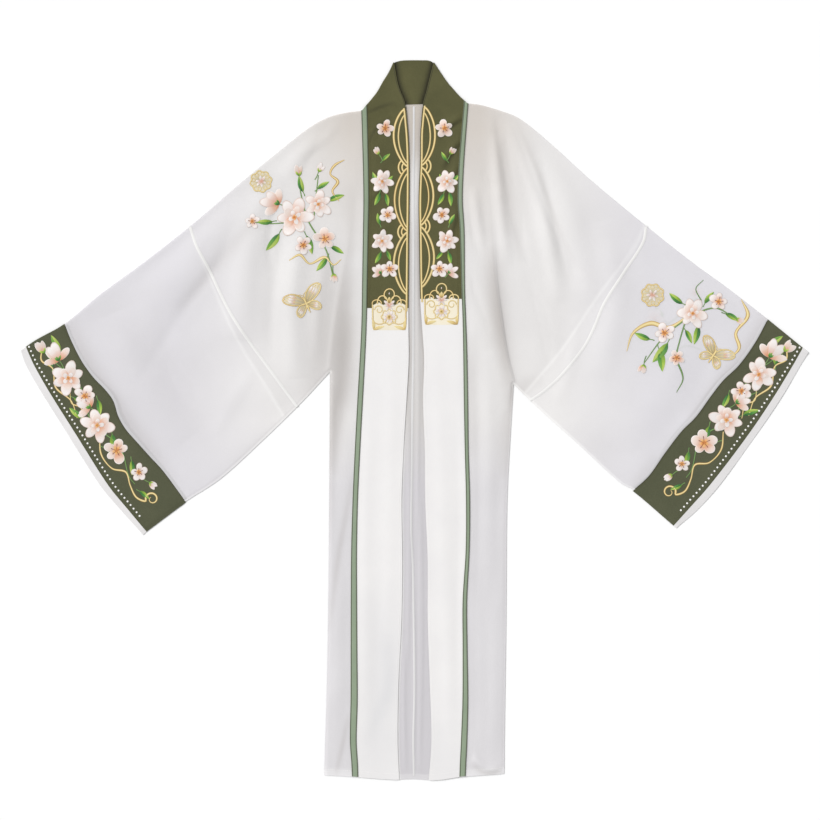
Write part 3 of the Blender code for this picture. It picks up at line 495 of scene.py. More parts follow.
class Outline:
    """The paths of one side of the robe, and the height of its front layer."""

    def __init__(self, side: int) -> None:
        self.side = side
        word = SIDES[side]
        self.top = Path([(row.out, getattr(row, word)) for row in TOP_EDGE])
        self.lower = Path(LOWER_EDGE[side])
        self.fold = Path(BODY_FOLD[side])
        self.side_edge = Path(SIDE_EDGE[side])
        self.stripe = Path([(getattr(row, word), row.down) for row in STRIPE_EDGE])
        self.free = Path([(getattr(row, word), row.down) for row in FREE_EDGE])
        self.collar_fold = Path(COLLAR_FOLD[side])
        self.hem = Path(HEM[side])
        shoulder = self.top.at_distance([self.top.where_out(self.seam_out(self.top.points[0, 1]))])
        self.neck_down = float(shoulder[0, 1])
        corner, self.shoulder_up = inset(self.top, shoulder)
        self.shoulder = corner[0]
        self.folds = [(Path(fold[:3]), fold) for fold in FOLDS[side]]
        self.band_folds = [(Path(fold[:3]), fold) for fold in BAND_FOLDS[side]]
        self.rumple = Rumple(CLOTH_SEED + side, RUMPLE_HEIGHT, *RUMPLE_LENGTHS)
        self.shades = [(Path(shade.marks, fine=6), shade) for shade in SHADES[side]]

    def seam_out(self, down: Floats) -> Array:
        """Where the front meets the band, under the middle of the sage strip."""
        return out_at(self.stripe, down) - STRIPE_WIDTH[self.side] / 2

    def hem_down(self, out: Floats) -> Array:
        """How far down the hem lies at this distance out."""
        return np.interp(out, self.hem.points[:, 0], self.hem.points[:, 1])

    def level(self, points: Array) -> Array:
        """Height of the front layer at these places, with its folds."""
        edge_gap = np.minimum(self.top.distance_to(points)[0], self.collar_fold.distance_to(points)[0])
        sewn_gap = np.minimum(self.lower.distance_to(points)[0], self.side_edge.distance_to(points)[0])
        ease = (1 - bell(edge_gap, EDGE_EASE)) * (1 - bell(sewn_gap, SEWN_EASE))
        height = FRONT_LEVEL + EDGE_RISE * bell(edge_gap, EDGE_REACH)
        beside = points[..., 0] - out_at(self.stripe, points[..., 1])
        outside = np.clip((beside - STRIPE_CLEAR) / STRIPE_EASE, 0, 1)
        inside = np.clip((-beside - STRIPE_WIDTH[self.side]) / STRIPE_EASE, 0, 1)
        for folds, share_of in ((self.folds, outside), (self.band_folds, inside)):
            for path, fold in folds:
                gap, share = path.distance_to(points)
                height = height + ease * share_of * fold.rise * tapered(share) * bell(gap, fold.reach)
        rumpled = BAND_RUMPLE + (1 - BAND_RUMPLE) * outside
        return np.maximum(height + ease * rumpled * self.rumple.at(points), LOWEST_FRONT)

    def shade(self, points: Array) -> Array:
        """How deep the front lies in the shade at these places."""
        total = np.zeros(points.shape[:-1])
        for path, shade in self.shades:
            gap, share = path.distance_to(points[..., :2])
            total += shade.depth * tapered(share) * bell(gap, shade.reach)
        return total

    def edge_down(self, out: Floats) -> Array:
        """How far down the folded edge of collar and shoulder lies at this distance out."""
        fold = self.collar_fold.points[::-1]
        beyond = np.interp(out, self.top.points[:, 0], self.top.points[:, 1])
        return np.where(out < fold[-1, 0], np.interp(out, fold[:, 0], fold[:, 1]), beyond)

    def upper_downs(self, shares: Array) -> Array:
        """How far down rows at these shares of the sleeve cross the seam with the band."""
        fold = self.fold.at(shares)[:, 1]
        return self.neck_down + (fold - fold[0]) * (fold[-1] - self.neck_down) / (fold[-1] - fold[0])

    def at_seam(self, downs: Array) -> Array:
        """Height of the front layer along its seam with the band."""
        return self.level(np.stack([self.seam_out(downs), downs], axis=-1))


def inset(path: Path, points: Array) -> tuple[Array, Array]:
    """An edge row drawn in, so that the cloth's roll ends on the edge itself, and its outward vectors."""
    square = path.square_to(points)
    outward = np.where(square[:, 1:] > 0, -square, square)
    return points - outward * (ROLL_RADIUS + EDGE_CLEAR), outward


def rolled(edge: Array, outward: Array, turns: int = 7) -> list[Array]:
    """The rows that take the cloth round a folded edge, from the front layer to the back one."""
    ways = np.linspace(0, np.pi, turns + 2)[1:-1]
    out, up = ROLL_RADIUS * np.sin(ways), BACK_LEVEL + ROLL_RADIUS * (1 + np.cos(ways))
    return [lifted(edge + outward * far, height) for far, height in zip(out, up)]


# Materials ------------


def linear(red: float, green: float, blue: float) -> tuple[float, float, float, float]:
    """A displayed colour, from 0 to 255, as the light that it stands for."""
    shown = np.array([red, green, blue]) / 255
    light = np.where(shown <= 0.04045, shown / 12.92, ((shown + 0.055) / 1.055) ** 2.4)
    return (*(float(value) for value in light), 1.0)


Number = Union[int, float, "Socket"]


class Socket:
    """A node's output that takes part in Python arithmetic; each operator adds a Math node."""

    def __init__(self, graph: "Graph", output: bpy.types.NodeSocket) -> None:
        self.graph, self.output = graph, output

    def _join(self, operation: str, first: Number, second: Number = 0.0) -> "Socket":
        """A Math node on two values."""
        return self.graph.node("ShaderNodeMath", {"operation": operation}, {0: first, 1: second})

    def __add__(self, other: Number) -> "Socket":
        """The sum."""
        return self._join("ADD", self, other)

    __radd__ = __add__

    def __sub__(self, other: Number) -> "Socket":
        """The difference."""
        return self._join("SUBTRACT", self, other)

    def __rsub__(self, other: Number) -> "Socket":
        """The difference, from a number."""
        return self._join("SUBTRACT", other, self)

    def __mul__(self, other: Number) -> "Socket":
        """The product."""
        return self._join("MULTIPLY", self, other)

    __rmul__ = __mul__

    def __truediv__(self, other: Number) -> "Socket":
        """The quotient."""
        return self._join("DIVIDE", self, other)

    def __pow__(self, other: Number) -> "Socket":
        """The power."""
        return self._join("POWER", self, other)

    def sine(self) -> "Socket":
        """Its sine, in radians."""
        return self._join("SINE", self)

    def size(self) -> "Socket":
        """Its absolute value."""
        return self._join("ABSOLUTE", self)

    def ramp(self, low: float, high: float, start: float = 0.0, end: float = 1.0) -> "Socket":
        """Start at or below low, end at or above high, and in a straight line between."""
        return self.graph.node("ShaderNodeMapRange", {"clamp": True},
                               {0: self, 1: low, 2: high, 3: start, 4: end})


class Graph:
    """The node tree of one material, with its Principled shader."""

    def __init__(self, name: str) -> None:
        self.material = bpy.data.materials.new(name)
        self.material.use_nodes = True
        self.tree = self.material.node_tree
        self.shader = self.tree.nodes["Principled BSDF"]

    def node(self, kind: str, settings: dict[str, object], inputs: dict[Union[int, str], object],
             output: Union[int, str] = 0) -> Socket:
        """Adds a node.

        Args:
            kind: Its type.
            settings: Its properties, set first.
            inputs: Values or links for its sockets.
            output: The socket that the result stands for.

        Returns:
            That output.
        """
        node = self.tree.nodes.new(kind)
        for key, value in settings.items():
            setattr(node, key, value)
        for key, value in inputs.items():
            self.feed(node.inputs[key], value)
        return Socket(self, node.outputs[output])

    def feed(self, socket: bpy.types.NodeSocket, value: object) -> None:
        """Links a socket, or sets its value."""
        if isinstance(value, Socket):
            self.tree.links.new(value.output, socket)
        else:
            socket.default_value = value

    def set(self, **values: object) -> None:
        """Feeds the shader; an underscore stands for a space in a socket's name."""
        for key, value in values.items():
            self.feed(self.shader.inputs[key.replace("_", " ")], value)

    def place(self) -> tuple[Socket, Socket, Socket]:
        """The point's X, Y and Z on the piece, in metres."""
        where = self.node("ShaderNodeTexCoord", {}, {}, "Object")
        parts = self.tree.nodes.new("ShaderNodeSeparateXYZ")
        self.feed(parts.inputs[0], where)
        return tuple(Socket(self, socket) for socket in parts.outputs)

    def attribute(self, name: str) -> Socket:
        """A number that the mesh holds at each point."""
        return self.node("ShaderNodeAttribute", {"attribute_name": name}, {}, "Fac")

    def noise(self, scale: float, detail: float = 2.0, rough: float = 0.5) -> Socket:
        """Soft noise on Object coordinates, about 0.5."""
        where = self.node("ShaderNodeTexCoord", {}, {}, "Object")
        return self.node("ShaderNodeTexNoise", {},
                         {"Vector": where, "Scale": scale, "Detail": detail, "Roughness": rough})

    def blend(self, share: Number, first: object, second: object) -> Socket:
        """A colour between two others."""
        node = self.tree.nodes.new("ShaderNodeMix")
        node.data_type = "RGBA"
        for key, value in ((0, share), (6, first), (7, second)):
            self.feed(node.inputs[key], value)
        return Socket(self, node.outputs[2])

    def bump(self, height: Number, distance: float, strength: float = 1.0) -> None:
        """Feeds the shader's normal from a height."""
        self.set(Normal=self.node("ShaderNodeBump", {},
                                  {"Strength": strength, "Distance": distance, "Height": height}, "Normal"))


@dataclass(frozen=True)
class Organza:
    """Sheer, crisp cloth with a fine plain weave, with painted light and shade by zone, beside the neck and
    at its points.
    """

    name: str
    # Painted light and shade by zone: upper is lighter, sleeve and skirt darker, neck a painted shade beside
    # the neck
    upper: Colour
    sleeve: Colour
    skirt: Colour
    neck: Colour
    cover: float = 0.72
    pitch: float = 0.9
    # The colours of the painted light and the painted shade that the `light` and `shade` attributes mix in
    lit: Colour = (253, 252, 251)
    shaded: Colour = (172, 164, 158)
    clouded: Colour = (205, 200, 204)
    doubled: Colour = (250, 250, 248)

    def material(self) -> bpy.types.Material:
        """The finish as nodes."""
        g = Graph(self.name)
        x, y, _ = g.place()
        # Painted light and shade by zone: lighter above the middle, darker below it and on the sleeves
        cloth = g.blend((0 - y).ramp(0.0, 0.12), linear(*self.upper), linear(*self.skirt))
        cloth = g.blend(x.size().ramp(0.26, 0.44), cloth, linear(*self.sleeve))
        # Painted shade beside the neck
        painted_neck_shade = y.ramp(0.30, 0.54) * x.size().ramp(0.12, 0.24, 1.0, 0.0)
        cloth = g.blend(painted_neck_shade, cloth, linear(*self.neck))
        # Painted light and painted shade held at each point
        cloth = g.blend(g.attribute("light"), cloth, linear(*self.lit))
        cloth = g.blend(g.attribute("shade") * 0.6, cloth, linear(*self.shaded))
        dense = g.attribute("ply")
        cloud = g.noise(9, 3)
        cloth = g.blend(cloud.ramp(0.35, 0.7, 0.0, 0.10), cloth, linear(*self.clouded))
        cloth = g.blend(dense * 0.45, cloth, linear(*self.doubled))
        turns = 2 * np.pi / (self.pitch * MM)
        weave = (x * turns).sine() * (y * turns).sine()
        slub = g.noise(900, 1)
        g.set(Base_Color=cloth, Alpha=dense * (0.97 - self.cover) + (slub - 0.5) * 0.06 + self.cover,
              Roughness=slub.ramp(0.3, 0.7, 0.46, 0.62), Sheen_Weight=0.18, Sheen_Roughness=0.35,
              Specular_IOR_Level=0.35)
        crinkle = g.noise(38, 4, 0.6)
        g.bump(weave * 0.12 + slub * 0.25 + crinkle * 1.1, 0.0008, 0.30)
        return g.material


@dataclass(frozen=True)
class Woven:
    """Opaque cloth in a plain weave: cotton where it is rough, satin where it is smooth."""

    name: str
    colour: Colour
    shade: Colour
    roughness: float
    sheen: float
    pitch: float = 0.8
    depth: float = 0.35
    # The colour that the painted shade of the `shade` attribute darkens towards
    dark: Colour = (196, 197, 201)

    def material(self) -> bpy.types.Material:
        """The finish as nodes."""
        g = Graph(self.name)
        x, y, _ = g.place()
        turns = 2 * np.pi / (self.pitch * MM)
        weave = (x * turns).sine() * (y * turns).sine()
        cloud, slub = g.noise(14, 4, 0.6), g.noise(700, 2)
        tone = cloud.ramp(0.3, 0.72) * 0.7 + slub.ramp(0.3, 0.7) * 0.3
        cloth = g.blend(tone, linear(*self.colour), linear(*self.shade))
        # Painted shade from the `shade` attribute
        g.set(Base_Color=g.blend(g.attribute("shade"), cloth, linear(*self.dark)),
              Roughness=slub.ramp(0.3, 0.7, self.roughness - 0.06, self.roughness + 0.06),
              Sheen_Weight=self.sheen, Sheen_Roughness=0.4, Specular_IOR_Level=0.3)
        g.bump(weave * 0.3 + slub * 0.5 + g.noise(60, 3) * 0.8, 0.0006, self.depth)
        return g.material


@dataclass(frozen=True)
class SatinStitch:
    """Embroidery thread laid side by side along a raised patch, from one colour at its root to another."""

    name: str
    root: Colour
    middle: Colour
    tip: Colour
    threads: float = 16.0
    slant: float = 0.0
    roughness: float = 0.42
    rim: Optional[Colour] = None

    def material(self) -> bpy.types.Material:
        """The finish as nodes."""
        g = Graph(self.name)
        chart = g.node("ShaderNodeUVMap", {"uv_map": "stitch"}, {})
        parts = g.tree.nodes.new("ShaderNodeSeparateXYZ")
        g.feed(parts.inputs[0], chart)
        across, along = Socket(g, parts.outputs[0]), Socket(g, parts.outputs[1])
        tone = g.attribute("tone")
        way = along + (tone - 0.5) * 0.35
        low = g.blend(way.ramp(0.05, 0.5), linear(*self.root), linear(*self.middle))
        shade = g.blend(way.ramp(0.42, 0.85), low, linear(*self.tip))
        shade = g.blend(tone.ramp(0.5, 1.0, 0.0, 0.3), shade, linear(*(0.8 * c for c in self.middle)))
        if self.rim:
            edge = (across * 2 - 1).size() ** 4 + along.size() ** 6
            shade = g.blend(edge.ramp(0.5, 1.0, 0.0, 0.75), shade, linear(*self.rim))
        line = ((across + (across - 0.5).size() * along * self.slant) * self.threads * 2 * np.pi).sine()
        # Painted shade in the grooves between the threads
        shade = g.blend(line.ramp(-1, -0.2, 0.16, 0.0), shade, linear(*(0.62 * c for c in self.middle)))
        g.set(Base_Color=shade, Roughness=line.ramp(-1, 1, self.roughness + 0.14, self.roughness - 0.06),
              Sheen_Weight=0.25, Sheen_Roughness=0.3, Specular_IOR_Level=0.45)
        g.bump(line * 0.5, 0.0003, 0.55)
        return g.material


@dataclass(frozen=True)
class CordFinish:
    """A twisted thread or a covered cord."""

    name: str
    colour: Colour
    groove_shade: Colour
    metallic: float = 0.0
    roughness: float = 0.4
    twist: float = 1.6

    def material(self) -> bpy.types.Material:
        """The finish as nodes."""
        g = Graph(self.name)
        run, turn = g.attribute("run"), g.attribute("turn")
        # Painted shade in the grooves of the twist
        strand = ((run / (self.twist * MM) + turn * 2) * 2 * np.pi).sine()
        g.set(Base_Color=g.blend(strand.ramp(-1, 0.4), linear(*self.groove_shade), linear(*self.colour)),
              Metallic=self.metallic, Roughness=strand.ramp(-1, 1, self.roughness + 0.12, self.roughness),
              Sheen_Weight=0.15, Specular_IOR_Level=0.5)
        g.bump(strand, 0.0002, 0.5)
        return g.material


@dataclass(frozen=True)
class Paper:
    """The plain pale ground that the robe lies on."""

    name: str = "pale_floor"

    def material(self) -> bpy.types.Material:
        """The finish as nodes."""
        g = Graph(self.name)
        grain = g.noise(3, 2)
        g.set(Base_Color=g.blend(grain, (0.93, 0.93, 0.93, 1), (0.95, 0.95, 0.95, 1)), Roughness=0.9,
              Specular_IOR_Level=0.1)
        return g.material


class Finish(Enum):
    """Every finish on the robe, with the material slot that it belongs to."""

    SHEER = ("sheer", Organza("sheer_organza", (250, 248, 247), (237, 235, 239), (238, 236, 238),
                              (229, 222, 215)))
    # The back layer: a shaded copy of the sheer cloth, painted darker as shade, most of all on the body and
    # beside the neck
    SHADED_SHEER_BACK = ("sheer", Organza("shaded_sheer_back", (216, 213, 211), (236, 233, 238), (212, 209, 213),
                                   (204, 195, 184), 0.80))
    SATIN = ("satin", Woven("white_satin", (236, 234, 233), (231, 229, 229), 0.42, 0.2, 0.6, 0.2))
    LINING = ("satin", Woven("cuff_lining", (229, 227, 227), (219, 217, 217), 0.55, 0.1, 0.6, 0.2))
    WELT = ("satin", Woven("seam_welt", (250, 249, 246), (244, 243, 240), 0.6, 0.1, 0.7, 0.25))
    SEAM = ("satin", Woven("sleeve_seam", (236, 235, 233), (229, 228, 226), 0.6, 0.1, 0.7, 0.25))
    # The cuff's welt, painted as dark as the shade beside the cuff's inner edge
    CUFF_WELT = ("satin", Woven("cuff_welt", (203, 202, 203), (196, 195, 197), 0.6, 0.1, 0.7, 0.25))
    CENTRE_WELT = ("satin", Woven("centre_welt", (222, 221, 221), (216, 215, 215), 0.6, 0.1, 0.7, 0.25))
    OLIVE = ("olive", Woven("olive_collar", (95, 93, 58), (80, 79, 48), 0.75, 0.12, 0.8, 0.5, (28, 26, 12)))
    OLIVE_CUFF = ("olive", Woven("olive_cuff", (88, 90, 67), (77, 80, 58), 0.75, 0.12, 0.8, 0.5))
    OLIVE_EDGE = ("olive", CordFinish("olive_edge", (66, 64, 40), (46, 45, 28), 0.0, 0.7, 1.6))
    SAGE = ("sage", Woven("sage_strip", (147, 162, 138), (134, 150, 126), 0.5, 0.2, 0.6, 0.25))
    PIPING = ("piping", CordFinish("dark_piping", (106, 113, 93), (74, 83, 64), 0.0, 0.6, 1.4))
    GOLD_FILL = ("gold", SatinStitch("gold_fill", (166, 128, 66), (224, 194, 124), (246, 228, 168), 14, 0,
                                     0.34))
    CREAM_FILL = ("gold", SatinStitch("cream_fill", (238, 220, 178), (246, 234, 200), (250, 241, 219), 20))
    NET_FILL = ("gold", SatinStitch("net_fill", (176, 160, 120), (204, 193, 164), (222, 212, 186), 9, 0.9,
                                    0.5))
    PETAL = ("blossom", SatinStitch("pink_petal", (222, 148, 102), (231, 201, 185), (242, 229, 222), 11,
                                    rim=(252, 248, 245)))
    PALE_PETAL = ("blossom", SatinStitch("pale_petal", (222, 168, 142), (236, 219, 212), (249, 245, 243), 11,
                                         rim=(212, 184, 168)))
    HEART = ("blossom", SatinStitch("blossom_heart", (206, 122, 58), (238, 168, 96), (246, 200, 140), 8))
    STAMEN = ("blossom", CordFinish("stamen", (150, 84, 46), (96, 50, 30), 0.0, 0.5))
    LEAF = ("leaf", SatinStitch("leaf", (40, 100, 50), (78, 144, 62), (132, 182, 72), 11, 0.8))
    YOUNG_LEAF = ("leaf", SatinStitch("young_leaf", (96, 142, 52), (160, 194, 68), (196, 212, 112), 11, 0.8))
    STEM = ("leaf", SatinStitch("stem", (64, 104, 56), (98, 138, 74), (140, 170, 96), 14))

    @property
    def slot(self) -> str:
        """Its material slot."""
        return self.value[0]

    def material(self) -> bpy.types.Material:
        """Its material, made the first time that it is asked for."""
        name = self.value[1].name
        return bpy.data.materials.get(name) or self.value[1].material()


# Meshes ------------


def dress(obj: Piece, finish: Finish, *nodes: str) -> Piece:
    """Args:
        obj: The piece, in place.
        finish: Its material.
        nodes: The solids that it stands for.

    Returns:
        The piece.
    """
    if not obj.data.materials:
        obj.data.materials.append(finish.material())
    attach(obj, BODY)
    if nodes:
        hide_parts(*nodes)
    log.info("%s: %d faces, %s", obj.name, len(obj.data.polygons), finish.value[1].name)
    return obj


def new_object(name: str, points: Array, faces: Sequence[Sequence[int]], smooth: bool = True,
               edges: Sequence[tuple[int, int]] = ()) -> Piece:
    """An object from points in metres, the corners of its faces, and edges where it has no faces."""
    mesh = bpy.data.meshes.new(name)
    mesh.from_pydata([tuple(map(float, point)) for point in points], edges, faces)
    if smooth:
        mesh.shade_smooth()
    obj = bpy.data.objects.new(name, mesh)
    bpy.context.collection.objects.link(obj)
    return obj


def set_numbers(mesh: bpy.types.Mesh, name: str, values: Array) -> None:
    """Stores a number at each of a mesh's points."""
    mesh.attributes.new(name, "FLOAT", "POINT").data.foreach_set("value", values.astype(np.float32))


def baked(obj: Piece) -> Piece:
    """The object with its modifiers turned into a plain mesh."""
    graph = bpy.context.evaluated_depsgraph_get()
    mesh = bpy.data.meshes.new_from_object(obj.evaluated_get(graph), depsgraph=graph)
    mesh.name = obj.name
    obj.modifiers.clear()
    obj.data = mesh
    return obj


class Cloth:
    """A sheet made of grids whose shared edges are joined."""

    def __init__(self, side: int = 1) -> None:
        self.side = side
        self.index: dict[tuple[float, ...], int] = {}
        self.points: list[Array] = []
        self.quads: list[list[int]] = []

    def corner(self, point: Array) -> int:
        """The index of a point, shared with any grid that has it too."""
        key = tuple(np.round(point, 3))
        if key not in self.index:
            self.index[key] = len(self.points)
            self.points.append(point)
        return self.index[key]

    def grid(self, rows: Iterable[Array]) -> None:
        """Adds rows that run outwards, listed from the hem upwards in front and downwards behind."""
        ids = [[self.corner(point) for point in row] for row in rows]
        for low, high in zip(ids, ids[1:]):
            for a, b, c, d in zip(low, low[1:], high[1:], high):
                ring = [k for n, k in enumerate((a, b, c, d)) if k not in (a, b, c, d)[:n]]
                if len(ring) > 2:
                    self.quads.append(ring if self.side > 0 else ring[::-1])

    def piece(self, name: str, **numbers: Heights) -> Piece:
        """The sheet as an object.

        Args:
            name: Its name.
            numbers: What it holds at each point, and how that follows from the point's place on the robe.

        Returns:
            The object.
        """
        middle = np.array(self.points)
        world = np.stack([self.side * middle[:, 0], MIDDLE_DOWN - middle[:, 1], middle[:, 2]], axis=1)
        obj = new_object(name, world * MM, self.quads)
        for word, value in numbers.items():
            set_numbers(obj.data, word, value(middle))
        return obj


def thickened(obj: Piece, wall: float) -> Piece:
    """Gives an opaque sheet its real thickness, grown to both sides."""
    solid = obj.modifiers.new("wall", "SOLIDIFY")
    solid.thickness, solid.offset, solid.use_even_offset = wall * MM, 0, True
    baked(obj)
    obj.data.shade_smooth()
    obj.data.set_sharp_from_angle(angle=np.radians(50))
    return obj


class Ground:
    """The upper surface of the dressed cloth, which sewing and embroidery lie on."""

    def __init__(self, pieces: Sequence[Piece]) -> None:
        points, faces = [], []
        for obj in pieces:
            start = len(points)
            points += [vertex.co.copy() for vertex in obj.data.vertices]
            faces += [[start + k for k in polygon.vertices] for polygon in obj.data.polygons]
        self.tree = BVHTree.FromPolygons(points, faces)

    def heights(self, places: Array, otherwise: float = FRONT_LEVEL) -> Array:
        """How high the cloth lies at places across X and up Y, all in millimetres."""
        found = []
        for x, y in places.reshape(-1, 2) * MM:
            hit = self.tree.ray_cast(Vector((x, y, 0.1)), Vector((0, 0, -1)))[0]
            found.append(hit.z / MM if hit else otherwise)
        return np.array(found).reshape(places.shape[:-1])


# Node trees for what follows a line ------------


class LineTree:
    """A Geometry Nodes tree that turns an object's edges into sewing: cords, stitches or beads."""

    def __init__(self, name: str) -> None:
        self.tree = bpy.data.node_groups.new(name, "GeometryNodeTree")
        self.tree.interface.new_socket("Lines", in_out="INPUT", socket_type="NodeSocketGeometry")
        self.tree.interface.new_socket("Sewing", in_out="OUTPUT", socket_type="NodeSocketGeometry")
        self.inlet = self.tree.nodes.new("NodeGroupInput")
        self.outlet = self.tree.nodes.new("NodeGroupOutput")

    def size(self, name: str, default: Union[int, float, None] = None) -> None:
        """Adds a named input: a number, a count, or a material where there is no default."""
        kind = {int: "Int", float: "Float", type(None): "Material"}[type(default)]
        socket = self.tree.interface.new_socket(name, in_out="INPUT", socket_type=f"NodeSocket{kind}")
        if default is not None:
            socket.default_value = default

    def add(self, kind: str, settings: dict[str, object], inputs: dict[Union[int, str], object],
            output: Union[int, str] = 0) -> bpy.types.NodeSocket:
        """Adds a node, sets its properties, links or sets its inputs, and returns one of its outputs."""
        node = self.tree.nodes.new(kind)
        for key, value in settings.items():
            setattr(node, key, value)
        for key, value in inputs.items():
            if isinstance(value, bpy.types.NodeSocket):
                self.tree.links.new(value, node.inputs[key])
            else:
                node.inputs[key].default_value = value
        return node.outputs[output]

    def stored(self, geometry: bpy.types.NodeSocket, name: str, value: object) -> bpy.types.NodeSocket:
        """The geometry with a number kept at each of its points."""
        return self.add("GeometryNodeStoreNamedAttribute", {"data_type": "FLOAT", "domain": "POINT"},
                        {0: geometry, "Name": name, "Value": value})

    def end(self, geometry: bpy.types.NodeSocket) -> None:
        """Realizes the instances, sets the material and closes the tree."""
        real = self.add("GeometryNodeRealizeInstances", {}, {0: geometry})
        done = self.add("GeometryNodeSetMaterial", {}, {0: real, "Material": self.inlet.outputs["Thread"]})
        self.tree.links.new(done, self.outlet.inputs[0])

    def run(self, obj: Piece, **values: object) -> Piece:
        """Runs the tree on an object and keeps the result as a plain mesh."""
        modifier = obj.modifiers.new(self.tree.name, "NODES")
        modifier.node_group = self.tree
        sockets = {item.name: item.identifier for item in self.tree.interface.items_tree
                   if item.item_type == "SOCKET" and item.in_out == "INPUT"}
        for name, value in values.items():
            modifier[sockets[name]] = value
        return baked(obj)


class CordTree(LineTree):
    """Sweeps a round section along each line, as thick as the lines' own `thick` says."""

    def __init__(self) -> None:
        super().__init__("cord")
        self.size("Sides", 6)
        self.size("Thread")
        line = self.add("GeometryNodeMeshToCurve", {}, {0: self.inlet.outputs["Lines"]})
        length = self.add("GeometryNodeSplineParameter", {}, {}, "Length")
        line = self.stored(line, "run", length)
        thick = self.add("GeometryNodeInputNamedAttribute", {"data_type": "FLOAT"}, {"Name": "thick"})
        ring = self.add("GeometryNodeCurvePrimitiveCircle", {},
                        {"Resolution": self.inlet.outputs["Sides"], "Radius": 1.0})
        factor = self.add("GeometryNodeSplineParameter", {}, {}, "Factor")
        ring = self.stored(ring, "turn", factor)
        cord = self.add("GeometryNodeCurveToMesh", {},
                        {0: line, "Profile Curve": ring, "Scale": thick, "Fill Caps": True})
        self.end(self.add("GeometryNodeSetShadeSmooth", {}, {0: cord}))


class BeadTree(LineTree):
    """Sets beads along each line: round dots, or long ones that read as stitches."""

    def __init__(self) -> None:
        super().__init__("beads")
        for name, default in (("Pitch", 0.003), ("Long", 0.001), ("Wide", 0.0004), ("High", 0.0004)):
            self.size(name, default)
        self.size("Segments", 8)
        self.size("Thread")
        given = self.inlet.outputs
        line = self.add("GeometryNodeMeshToCurve", {}, {0: given["Lines"]})
        points = self.add("GeometryNodeCurveToPoints", {"mode": "LENGTH"},
                          {0: line, "Length": given["Pitch"]}).node
        ball = self.add("GeometryNodeMeshUVSphere", {},
                        {"Segments": given["Segments"], "Rings": 6, "Radius": 1.0})
        size = self.add("ShaderNodeCombineXYZ", {}, {0: given["Long"], 1: given["Wide"], 2: given["High"]})
        turn = self.add("FunctionNodeAlignRotationToVector", {"axis": "X"},
                        {"Vector": points.outputs["Tangent"]})
        beads = self.add("GeometryNodeInstanceOnPoints", {},
                         {0: points.outputs[0], "Instance": ball, "Rotation": turn, "Scale": size})
        self.end(self.add("GeometryNodeSetShadeSmooth", {}, {0: beads}))


def line_object(name: str, lines: Sequence[Array], thick: Optional[Sequence[Array]] = None) -> Piece:
    """An object of bare edges, for a tree to sew along.

    Args:
        name: Its name.
        lines: Runs of points, in millimetres.
        thick: The radius at each point of each run, in millimetres.

    Returns:
        The object.
    """
    edges, start = [], 0
    for line in lines:
        edges += [(start + k, start + k + 1) for k in range(len(line) - 1)]
        start += len(line)
    obj = new_object(name, np.vstack(lines) * MM, [], False, edges)
    if thick is not None:
        set_numbers(obj.data, "thick", np.concatenate(thick) * MM)
    return obj


# The sewn pieces ------------

FINE = 90  # points along a row before its columns are placed
FIRST_ROW = 0.012  # share of a sleeve's height at which the first row below its folded edge lies

# The shares of a second ply, and how far in from each edge they reach and fade
HEM_PLY, SEAM_PLY, BACK_PLY = 0.4, 0.6, 0.34
HEM_EASE, SEAM_DEPTH, SEAM_EASE, BACK_PLY_REACH = 1.2, 5.0, 2.5, 3.2

# The band's painted shade on the back, which ends at this place going down, and the painted light on the back
BAND_SHADE_END, BAND_SHADE_EASE, BAND_SHADE_REACH = 720.0, 200.0, 4.5
NECK_LIGHT, NECK_LIGHT_OUT, NECK_LIGHT_DOWN, NECK_LIGHT_REACH = 0.85, 24.0, 250.0, 62.0
EDGE_LIGHT_START, EDGE_LIGHT_EASE, EDGE_LIGHT_GAP, EDGE_LIGHT_REACH = 620.0, 140.0, 0.5, 2.0


def sleeve_shares(rows: int) -> Array:
    """Shares of a sleeve's height for its rows, the first at the folded edge."""
    return np.concatenate([[0], FIRST_ROW + (1 - FIRST_ROW) * crowded(rows - 1)])


def smooth(share: Array) -> Array:
    """From 0 to 1 with level ends."""
    share = np.clip(share, 0, 1)
    return share * share * (3 - 2 * share)


def closed_in(outline: Outline, points: Array, heights: Array, reach: float = FRONT_CLOSING) -> Array:
    """Heights brought together near the sewn edges, where front and back meet."""
    gap = np.minimum(outline.lower.distance_to(points)[0], outline.side_edge.distance_to(points)[0])
    return SEWN_LEVEL + (heights - SEWN_LEVEL) * smooth(gap / reach)


def lying_behind(outline: Outline, rows: Iterable[Array]) -> list[Array]:
    """Rows of the back layer, which comes up to the front at the sewn edges."""
    return [lifted(row, closed_in(outline, row, np.full(len(row), BACK_LEVEL), BACK_CLOSING)) for row in rows]


def edge_ply(outline: Outline) -> Heights:
    """The share of a second ply: the hem, the sleeve's lower seam, and the back's seam showing through."""
    behind = Path(BACK_SEAM[outline.side])

    def dense(points: Array) -> Array:
        """The share at places given as out, down and height."""
        hem = HEM_DEPTH + HEM_EASE / 2 - (outline.hem_down(points[:, 0]) - points[:, 1])
        seam = SEAM_DEPTH - outline.lower.distance_to(points[:, :2])[0]
        hem, seam = HEM_PLY * np.clip(hem / HEM_EASE, 0, 1), SEAM_PLY * np.clip(seam / SEAM_EASE, 0, 1)
        showing = BACK_PLY * bell(behind.distance_to(points[:, :2])[0], BACK_PLY_REACH)
        return np.maximum(np.maximum(hem, seam), showing)
    return dense


def pleat_strengths(side: int, downs: Array) -> Array:
    """How far the pleat between body and sleeve is folded at these distances down."""
    places = Path(PLEAT_STRENGTH, fine=8).points
    return PLEAT_SHARE[side] * np.clip(np.interp(downs, places[:, 0], places[:, 1]), 0, 1)


